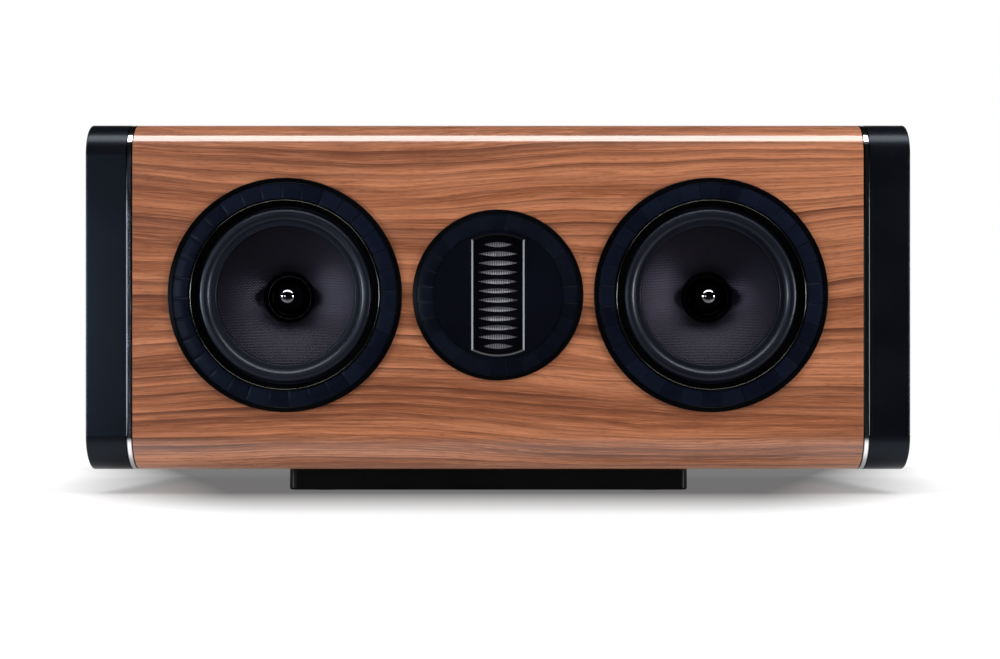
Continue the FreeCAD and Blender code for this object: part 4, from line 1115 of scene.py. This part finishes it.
    def build_cone(self) -> None:
        """Spin the flared cone with its glue rim and a black neck: its glue joint, with painted
        shade round the plug.
        """
        mesh = bmesh.new()
        rim = -self.landing_depth
        outline = Outline(mesh, self.neck, -self.neck_depth)
        outline.arc(self.glue_inner, rim, -self.flare, steps=32)
        outline.line(
            (self.cone_rim, rim), (self.cone_rim, rim - self.wall),
            (self.glue_inner, rim - self.wall))
        outline.arc(self.neck, -self.neck_depth - self.neck_wall, self.flare, steps=32)
        outline.close()
        outline.spin(self.stations)
        # The neck zone is both the glue joint and painted shade round the plug.
        paint_zones(
            mesh,
            lambda radius, height: ConeZone.NECK if radius < self.neck_rim else ConeZone.WEAVE)
        stand(mesh, self.place)
        weave = WovenCone(self.node("woven_cone"), centre=tuple(self.place))
        piece = put_in_scene(mesh, self.node("cone_cloth"), [weave, NECK_SHADE_BLACK])
        hand_over(piece, self.node("cone"), self.node("woofer_cone"))

    def build_plug(self) -> None:
        """Spin the bullet-shaped plug with its polished nose."""
        mesh = bmesh.new()
        rise = self.nose_bend - math.sqrt(self.nose_bend ** 2 - self.nose_width ** 2)
        outline = Outline(mesh, 0, -self.plug_foot)
        outline.line(
            (self.plug_radius, -self.plug_foot), (self.plug_radius, -self.plug_shoulder))
        outline.arc(self.nose_width, -self.plug_tip - rise, self.flank_bend, steps=24)
        outline.arc(0, -self.plug_tip, self.nose_bend, steps=16)
        outline.spin(self.plug_stations)
        stand(mesh, self.place)
        piece = put_in_scene(mesh, self.node("bullet_plug"), [BLACK_CHROME], self.plug_crease)
        hand_over(piece, "cabinet", self.node("phase_plug"))

    def build_spider(self) -> None:
        """Copy the spider, welded, as a piece of its own, and hide its CAD node."""
        mesh = bmesh.new()
        mesh.from_mesh(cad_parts[self.node("spider")].data)
        bmesh.ops.remove_doubles(mesh, verts=mesh.verts, dist=WELD)
        reach = [
            math.hypot(vert.co.x - self.place.x, vert.co.z - self.place.z) for vert in mesh.verts]
        piece = put_in_scene(mesh, self.node("spider_cloth"), [SPIDER_CLOTH])
        self.let_give(
            piece, max(reach) - self.spider_shelf, min(reach) + self.spider_collar)
        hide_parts(self.node("spider"))

    def dress_motor(self) -> None:
        """Give the pieces behind the cone their finishes."""
        finishes = {
            "woofer_basket": BASKET_ALLOY, "woofer_gasket": GASKET_FOAM,
            "coil_former": FORMER_FOIL, "voice_coil": COPPER_COIL, "top_plate": MOTOR_STEEL,
            "ring_magnet": FERRITE, "pole_yoke": MOTOR_STEEL}
        dress_all({self.node(piece): finish for piece, finish in finishes.items()}, {})


@dataclass
class Tweeter:
    """The pleated-film tweeter: tiled plate, slotted pole plate and film."""

    tile_inner: float = 44.8 * MM
    tile_outer: float = 56.0 * MM
    tile_recess: float = 0.6 * MM
    tile_count: int = 28
    tile_seed: int = 11
    window_half: float = 17.1 * MM
    window_arc: float = 41.2 * MM
    chamfer_width: float = 1.2 * MM
    chamfer_depth: float = 0.80 * MM
    plate_crease: float = math.radians(24)
    pleats: int = 17
    fold: float = 0.30 * MM
    film_wall: float = 0.45 * MM
    stations: int = 168
    place: Vector = field(init=False)
    radius: float = field(init=False)
    proud: float = field(init=False)
    depth: float = field(init=False)

    def __post_init__(self) -> None:
        """Take the plate's place and size from the CAD parts."""
        low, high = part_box("tweeter_plate")
        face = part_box("woofer_basket_left")[0].y
        self.place = Vector(((low.x + high.x) / 2, face, (low.z + high.z) / 2))
        self.radius = (high.x - low.x) / 2
        self.proud = face - low.y
        self.depth = high.y - face

    def build(self) -> None:
        """Make the tweeter's pieces and dress those behind them."""
        self.build_plate()
        self.build_film()
        dress_all(
            {"front_pole_plate": POLE_BLACK, "rear_pole_plate": MOTOR_STEEL,
             "film_frame": MOULDED, "tweeter_cup": MOULDED},
            {"tweeter_magnet": FERRITE})

    def build_plate(self) -> None:
        """Spin the plate's ring, fill its face round the window and set the tiles in its seat."""
        mesh = bmesh.new()
        band = TileBand(
            self.tile_inner, self.tile_outer, self.proud - self.tile_recess, self.tile_count,
            180 / self.tile_count, self.tile_seed)
        inner = self.tile_inner - band.seat_gap
        outer = self.tile_outer + band.seat_gap
        outline = Outline(mesh, inner, self.proud)
        band.draw_seat(outline, inner, outer, self.radius)
        outline.line((inner, 0), (inner, -self.depth))
        outline.spin(self.stations)
        paint_zones(
            mesh, lambda radius, height:
            PlateZone.GROOVE if inner < radius < outer and height < band.top else PlateZone.RIM)
        self.fill_face(mesh)
        band.add_to(mesh, PlateZone.TILES)
        stand(mesh, self.place)
        finishes = (RING_GLOSS, GROOVE_BLACK, PLATE_BLACK, PLATE_TILES, CHAMFER_GLOSS)
        piece = put_in_scene(mesh, "tweeter_face", finishes, self.plate_crease)
        hand_over(piece, "cabinet", "tweeter_plate")

    def fill_face(self, mesh: bmesh.types.BMesh) -> None:
        """Fill the face between the tile band and the window, and slope the window's rim.

        Args:
            mesh: The plate's ring, about +Z.
        """
        top = self.proud
        border = [
            edge for edge in mesh.edges if edge.is_boundary and edge.verts[0].co.z > top / 2]
        window = self.window_loop(mesh, top)
        made = bmesh.ops.triangle_fill(
            mesh, use_beauty=True, use_dissolve=False, edges=[*border, *window])
        for item in made["geom"]:
            if isinstance(item, bmesh.types.BMFace):
                item.material_index = PlateZone.FACE
                item.normal_update()
                if item.normal.z < 0:
                    item.normal_flip()
        rim = [edge for edge in window if edge.is_valid]
        slope = self.draw_in(mesh, rim, -self.chamfer_depth, PlateZone.SLOPE)
        self.draw_in(mesh, slope, self.chamfer_depth - self.depth - top, PlateZone.FACE)
        bmesh.ops.recalc_face_normals(mesh, faces=mesh.faces)

    def draw_in(
        self, mesh: bmesh.types.BMesh, rim: list[bmesh.types.BMEdge], drop: float, zone: PlateZone
    ) -> list[bmesh.types.BMEdge]:
        """Draw the window's rim in to its final size and down by a drop.

        Args:
            mesh: The plate's mesh.
            rim: The edges of the window so far.
            drop: How far it moves along the axis.
            zone: The finish of the new faces.

        Returns:
            The new rim's edges.
        """
        made = bmesh.ops.extrude_edge_only(mesh, edges=rim)["geom"]
        verts = [item for item in made if isinstance(item, bmesh.types.BMVert)]
        narrow = self.window_half / max(vert.co.x for vert in verts)
        for vert in verts:
            across = vert.co.x * narrow
            end = math.sqrt(self.window_arc * self.window_arc - across * across)
            vert.co = (across, math.copysign(end, vert.co.y), vert.co.z + drop)
        for item in made:
            if isinstance(item, bmesh.types.BMFace):
                item.material_index = zone
        return [item for item in made if isinstance(item, bmesh.types.BMEdge)]

    def window_loop(self, mesh: bmesh.types.BMesh, height: float) -> list[bmesh.types.BMEdge]:
        """Draw the window: upright sides and ends that follow a circle.

        Args:
            mesh: The plate's mesh.
            height: The height to draw at.

        Returns:
            The edges of the closed loop.
        """
        before = set(mesh.edges)
        half = self.window_half + self.chamfer_width
        arc = self.window_arc + self.chamfer_width
        end = math.sqrt(arc * arc - half * half)
        angle = 2 * math.asin(half / arc)
        for flip in (1, -1):
            corner = mesh.verts.new((flip * half, flip * end, height))
            bmesh.ops.spin(
                mesh, geom=[corner], cent=(0, 0, height), axis=(0, 0, 1), angle=angle, steps=16)
            foot = mesh.verts.new((flip * half, -flip * end, height))
            mesh.edges.new((foot, corner))
        loop = [edge for edge in mesh.edges if edge not in before]
        ends = list({vert for edge in loop for vert in edge.verts})
        bmesh.ops.remove_doubles(mesh, verts=ends, dist=WELD)
        return [edge for edge in mesh.edges if edge not in before]

    def build_film(self) -> None:
        """Fold the film: a zigzag with round folds, raised to its height and given its wall."""
        low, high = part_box("pleated_film")
        mesh = bmesh.new()
        step = (high.x - low.x) / (2 * self.pleats)
        front = low.y + self.film_wall
        back = high.y - self.film_wall
        points = [
            mesh.verts.new((low.x + index * step, front if index % 2 else back, low.z))
            for index in range(2 * self.pleats + 1)]
        for first, second in zip(points, points[1:]):
            mesh.edges.new((first, second))
        bmesh.ops.bevel(
            mesh, geom=points[1:-1], offset=self.fold, offset_type="OFFSET", affect="VERTICES",
            segments=4, profile=0.5, material=-1)
        raised = bmesh.ops.extrude_edge_only(mesh, edges=mesh.edges)
        tops = [item for item in raised["geom"] if isinstance(item, bmesh.types.BMVert)]
        bmesh.ops.translate(mesh, vec=(0, 0, high.z - low.z), verts=tops)
        bmesh.ops.recalc_face_normals(mesh, faces=mesh.faces)
        bmesh.ops.solidify(mesh, geom=mesh.faces[:], thickness=self.film_wall)
        piece = put_in_scene(mesh, "folded_film", [FOIL])
        hand_over(piece, "cabinet", "pleated_film")


@dataclass
class Cabinet:
    """The wood wrap with its cheeks, trim, back, plinth and inside."""

    def build(self) -> None:
        """Dress the cabinet's nodes."""
        dress_all(
            {"cabinet_shell": WALNUT, "back_panel": BACK_BLACK, "plinth": PLINTH_BLACK,
             "plinth_feet": FOOT_RUBBER, "plinth_screws": DARK_STEEL, "woofer_screws": DARK_STEEL,
             "crossover_board": BOARD_GREEN, "crossover_chokes": COPPER_COIL,
             "crossover_capacitors": CAPACITOR_SLEEVE},
            {"end_cheek": CHEEK_BLACK, "trim_band": BRIGHT_TRIM, "brace": FIBREBOARD,
             "lining": FELT, "port": MOULDED})


@dataclass
class Terminals:
    """The recessed terminal cup with its two binding posts."""

    def build(self) -> None:
        """Dress the posts and the cup."""
        dress_all(
            {"terminal_cup": MOULDED, "post_nuts": DARK_STEEL, "post_cap_left": RED_CAP,
             "post_cap_right": BLACK_CAP},
            {"post_stem": GOLD, "post_washer": GOLD})


def hang_lamp(data: bpy.types.Light, place: Point, aim: Point) -> bpy.types.Object:
    """Put a lamp in the scene, out of the camera's sight.

    Args:
        data: The lamp's light.
        place: Where it hangs.
        aim: What it points at.

    Returns:
        The lamp.
    """
    lamp = bpy.data.objects.new(data.name, data)
    lamp.location = place
    lamp.rotation_euler = (Vector(aim) - Vector(place)).to_track_quat("-Z", "Y").to_euler()
    lamp.visible_camera = False
    bpy.context.scene.collection.objects.link(lamp)
    return lamp


@dataclass(frozen=True)
class Softbox:
    """A flat studio lamp."""

    name: str
    place: Point
    aim: Point
    width: float
    height: float
    radiance: float
    colour: Colour = (1.0, 1.0, 1.0)
    on_matt: bool = True
    in_gloss: bool = True
    reach: Reach = Reach.OBJECT

    def hang(self, limit: bpy.types.Collection) -> None:
        """Hang the lamp. An area lamp's power is four times its area times its radiance.

        Args:
            limit: The collection that keeps a lamp off the floor.
        """
        data = bpy.data.lights.new(self.name, "AREA")
        data.shape = "RECTANGLE"
        data.size = self.width
        data.size_y = self.height
        data.energy = 4 * self.width * self.height * self.radiance
        data.color = self.colour
        lamp = hang_lamp(data, self.place, self.aim)
        lamp.visible_diffuse = self.on_matt
        lamp.visible_glossy = self.in_gloss
        if self.reach is Reach.OBJECT:
            lamp.light_linking.receiver_collection = limit


@dataclass(frozen=True)
class Snoot:
    """A narrow round lamp that reaches one small place."""

    name: str
    place: Point
    aim: Point
    power: float
    cone: float
    soft: float = 0.5
    radius: float = 30 * MM

    def hang(self) -> None:
        """Hang the lamp, out of sight of mirrors."""
        data = bpy.data.lights.new(self.name, "SPOT")
        data.energy = self.power
        data.spot_size = self.cone
        data.spot_blend = self.soft
        data.shadow_soft_size = self.radius
        hang_lamp(data, self.place, self.aim).visible_glossy = False


@dataclass
class Studio:
    """A white floor under soft lamps, and the camera."""

    eye: Point = (0.0014, -1.2485, 0.0588)
    lens: float = 57.35
    sensor: float = 36.0
    shift: float = 0.080
    floor_half: float = 30.0
    near: float = 0.55
    far: float = 1.1
    # Floor colour, and its colour and glow in the painted shadow under the object.
    floor_tone: Colour = (0.85, 0.85, 0.85)
    floor_painted_shadow: Colour = (0.04, 0.04, 0.04)
    floor_lift: Span = (0.16, 0.50)
    floor_bounce: float = 0.95
    floor_grain: float = 3 * MM
    floor_relief: float = 0.02 * MM
    # How the painted shadow tapers, and how far it reaches beside, before and behind the object.
    shade_taper: float = -0.3
    beside: Span = (0.225, 0.345)
    before: Span = (-0.12, -0.42)
    behind: Span = (0.33, 0.52)
    # Painted reflection of the floor: gloss sees it fade to dark over dusk, with a painted glow
    # over gleam_start.
    dusk: Span = (-0.195, -0.34)
    dusk_share: float = 0.98
    gleam: float = 0.60
    gleam_start: Span = (-0.14, -0.16)
    room: Span = (0.02, 0.2)
    room_span: Span = (-0.5, 0.5)
    mirror: Span = (0.006, 1.0)
    mirror_span: Span = (0.75, 0.97)
    lamps: tuple[Softbox, ...] = (
        Softbox("top_strip", (0, -0.62, 1.45), (0, -0.14, 0.25), 3.0, 0.54, 2.4),
        Softbox("top_glint", (0, -0.62, 1.44), (0, -0.14, 0.25), 3.0, 0.54, 6.0, on_matt=False),
        Softbox(
            "left_box", (-2.14, -1.06, 0.18), (0, -0.15, 0.14), 0.50, 0.60, 46.0,
            (0.86, 0.92, 1.0)),
        Softbox(
            "right_box", (2.14, -1.06, 0.18), (0, -0.15, 0.14), 0.50, 0.60, 44.0,
            (0.96, 0.96, 1.0)),
        Softbox(
            "left_glow", (-0.95, -1.55, 0.22), (-0.27, -0.15, 0.14), 0.5, 0.36, 6.0,
            (0.66, 0.80, 1.0), on_matt=False),
        Softbox("back_sky", (0, 1.0, 1.5), (0, 0, 0.1), 3.0, 1.6, 1.2, in_gloss=False),
        Softbox(
            "floor_sky", (0, 0.1, 2.2), (0, 0.1, 0), 6.0, 5.0, 0.95, in_gloss=False,
            reach=Reach.ALL),
    )
    snoot: Snoot = Snoot(
        "film_snoot", (0, -1.35, 0.5), (0, -0.145, 0.138), 46.0, math.radians(4.8))

    def build(self) -> None:
        """Set up floor, world, lamps and camera."""
        limit = self.keep_off(self.lay_floor())
        self.wrap_world()
        for lamp in self.lamps:
            lamp.hang(limit)
        self.snoot.hang()
        self.set_camera()
        bpy.context.scene.view_settings.view_transform = "Standard"

    def keep_off(self, floor: bpy.types.Object) -> bpy.types.Collection:
        """Make a collection that keeps lamps off the floor.

        Args:
            floor: What the lamps leave out.

        Returns:
            The collection.
        """
        limit = bpy.data.collections.new("not_floor")
        limit.objects.link(floor)
        limit.collection_objects[0].light_linking.link_state = "EXCLUDE"
        return limit

    def lay_floor(self) -> bpy.types.Object:
        """Lay the floor, which keeps the shadow nearby, deepened by a painted shadow, and fades to
        plain white further off.

        Returns:
            The floor.
        """
        mesh = bmesh.new()
        bmesh.ops.create_grid(mesh, x_segments=1, y_segments=1, size=self.floor_half)
        floor = put_in_scene(mesh, "studio_floor", [])
        material = bpy.data.materials.new("studio_floor")
        material.use_nodes = True
        self.paint_floor(NodeGraph(material.node_tree))
        floor.data.materials.append(material)
        return floor

    def painted_shadow_falloff(self, graph: NodeGraph, spot: Socket) -> Socket:
        """Measure how far the floor is clear of the painted shadow round the object.

        Args:
            graph: The floor's graph.
            spot: Where the floor is.

        Returns:
            0 under the object, rising to 1 beside, before and behind it.
        """
        depth = graph.axis(spot, "Y")
        width = graph.maths("ABSOLUTE", graph.axis(spot, "X"))
        across = graph.maths("MULTIPLY_ADD", depth, self.shade_taper, width)
        ways = ((across, self.beside), (depth, self.before), (depth, self.behind))
        squares = [graph.maths("POWER", graph.remap(way, *span), 2.0) for way, span in ways]
        around = graph.maths("ADD", graph.maths("ADD", *squares[:2]), squares[2])
        return graph.maths("MINIMUM", graph.maths("SQRT", around), 1.0)

    def paint_floor(self, graph: NodeGraph) -> None:
        """Paint the floor: dark with a painted shadow by the object, white to the eye far off, and
        dim in front to gloss.

        Args:
            graph: The floor's graph.
        """
        spot = graph.spot()
        depth = graph.axis(spot, "Y")
        reach = graph.add("ShaderNodeVectorMath", {0: spot}, "Value", operation="LENGTH")
        # Painted shadow: 0 under the object, 1 clear of it.
        clear = self.painted_shadow_falloff(graph, spot)
        glossy = graph.ray("Glossy")
        seen = graph.maths("MAXIMUM", graph.ray("Camera"), graph.ray("Transmission"))
        seen = graph.maths("MAXIMUM", seen, glossy)
        dusk = graph.remap(depth, *self.dusk, 0.0, self.dusk_share)
        day = graph.maths("SUBTRACT", 1.0, dusk)
        # Painted glow that only gloss sees on the floor just in front of the cabinet.
        gleam = graph.maths(
            "MULTIPLY", graph.remap(depth, *self.gleam_start, 0.0, self.gleam), day)
        lift = graph.maths(
            "MULTIPLY_ADD", glossy, gleam, graph.remap(clear, 0.0, 1.0, *self.floor_lift))
        matt = graph.add("ShaderNodeBsdfDiffuse", {
            "Color": graph.mix(clear, self.floor_painted_shadow, self.floor_tone),
            "Normal": graph.bump(graph.mottle(self.floor_grain), self.floor_relief)})
        shown = graph.add("ShaderNodeAddShader", {0: matt, 1: graph.glow(lift)})
        shown = graph.blend(graph.remap(reach, self.near, self.far), shown, graph.glow(1.0))
        shown = graph.blend(graph.maths("MULTIPLY", glossy, dusk), shown, graph.glow(0.0))
        shown = graph.blend(seen, graph.glow(self.floor_bounce), shown)
        graph.add("ShaderNodeOutputMaterial", {"Surface": shown})

    def wrap_world(self) -> None:
        """Wrap the scene in white for the eye and behind the object, with a dim room in front."""
        world = bpy.data.worlds.new("studio_world")
        bpy.context.scene.world = world
        world.use_nodes = True
        graph = NodeGraph(world.node_tree)
        depth = graph.axis(graph.add("ShaderNodeTexCoord", {}, "Generated"), "Y")
        room = graph.remap(depth, *self.room_span, *self.room)
        mirrored = graph.remap(depth, *self.mirror_span, *self.mirror)
        seen = graph.maths("MAXIMUM", graph.ray("Camera"), graph.ray("Transmission"))
        strength = graph.choose(seen, graph.choose(graph.ray("Glossy"), room, mirrored), 1.0)
        white = graph.add(
            "ShaderNodeBackground", {"Color": (1.0, 1.0, 1.0), "Strength": strength})
        graph.add("ShaderNodeOutputWorld", {"Surface": white})

    def set_camera(self) -> None:
        """Look level at the front from where the photograph was taken."""
        data = bpy.data.cameras.new("eye")
        data.lens = self.lens
        data.sensor_width = self.sensor
        data.shift_y = self.shift
        eye = bpy.data.objects.new("eye", data)
        eye.location = self.eye
        eye.rotation_euler = (QUARTER_TURN, 0, 0)
        bpy.context.scene.collection.objects.link(eye)
        bpy.context.scene.camera = eye


def main() -> None:
    """Build the speaker's sub-assemblies in order, then the studio round it."""
    logging.basicConfig(level=logging.INFO, format="%(name)s: %(message)s")
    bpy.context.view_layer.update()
    Cabinet().build()
    for side, tile_turn in ((Side.LEFT, 2.0), (Side.RIGHT, 6.2)):
        Woofer(side, tile_turn).build()
    Tweeter().build()
    Terminals().build()
    Studio().build()


if __name__ == "__main__":
    main()
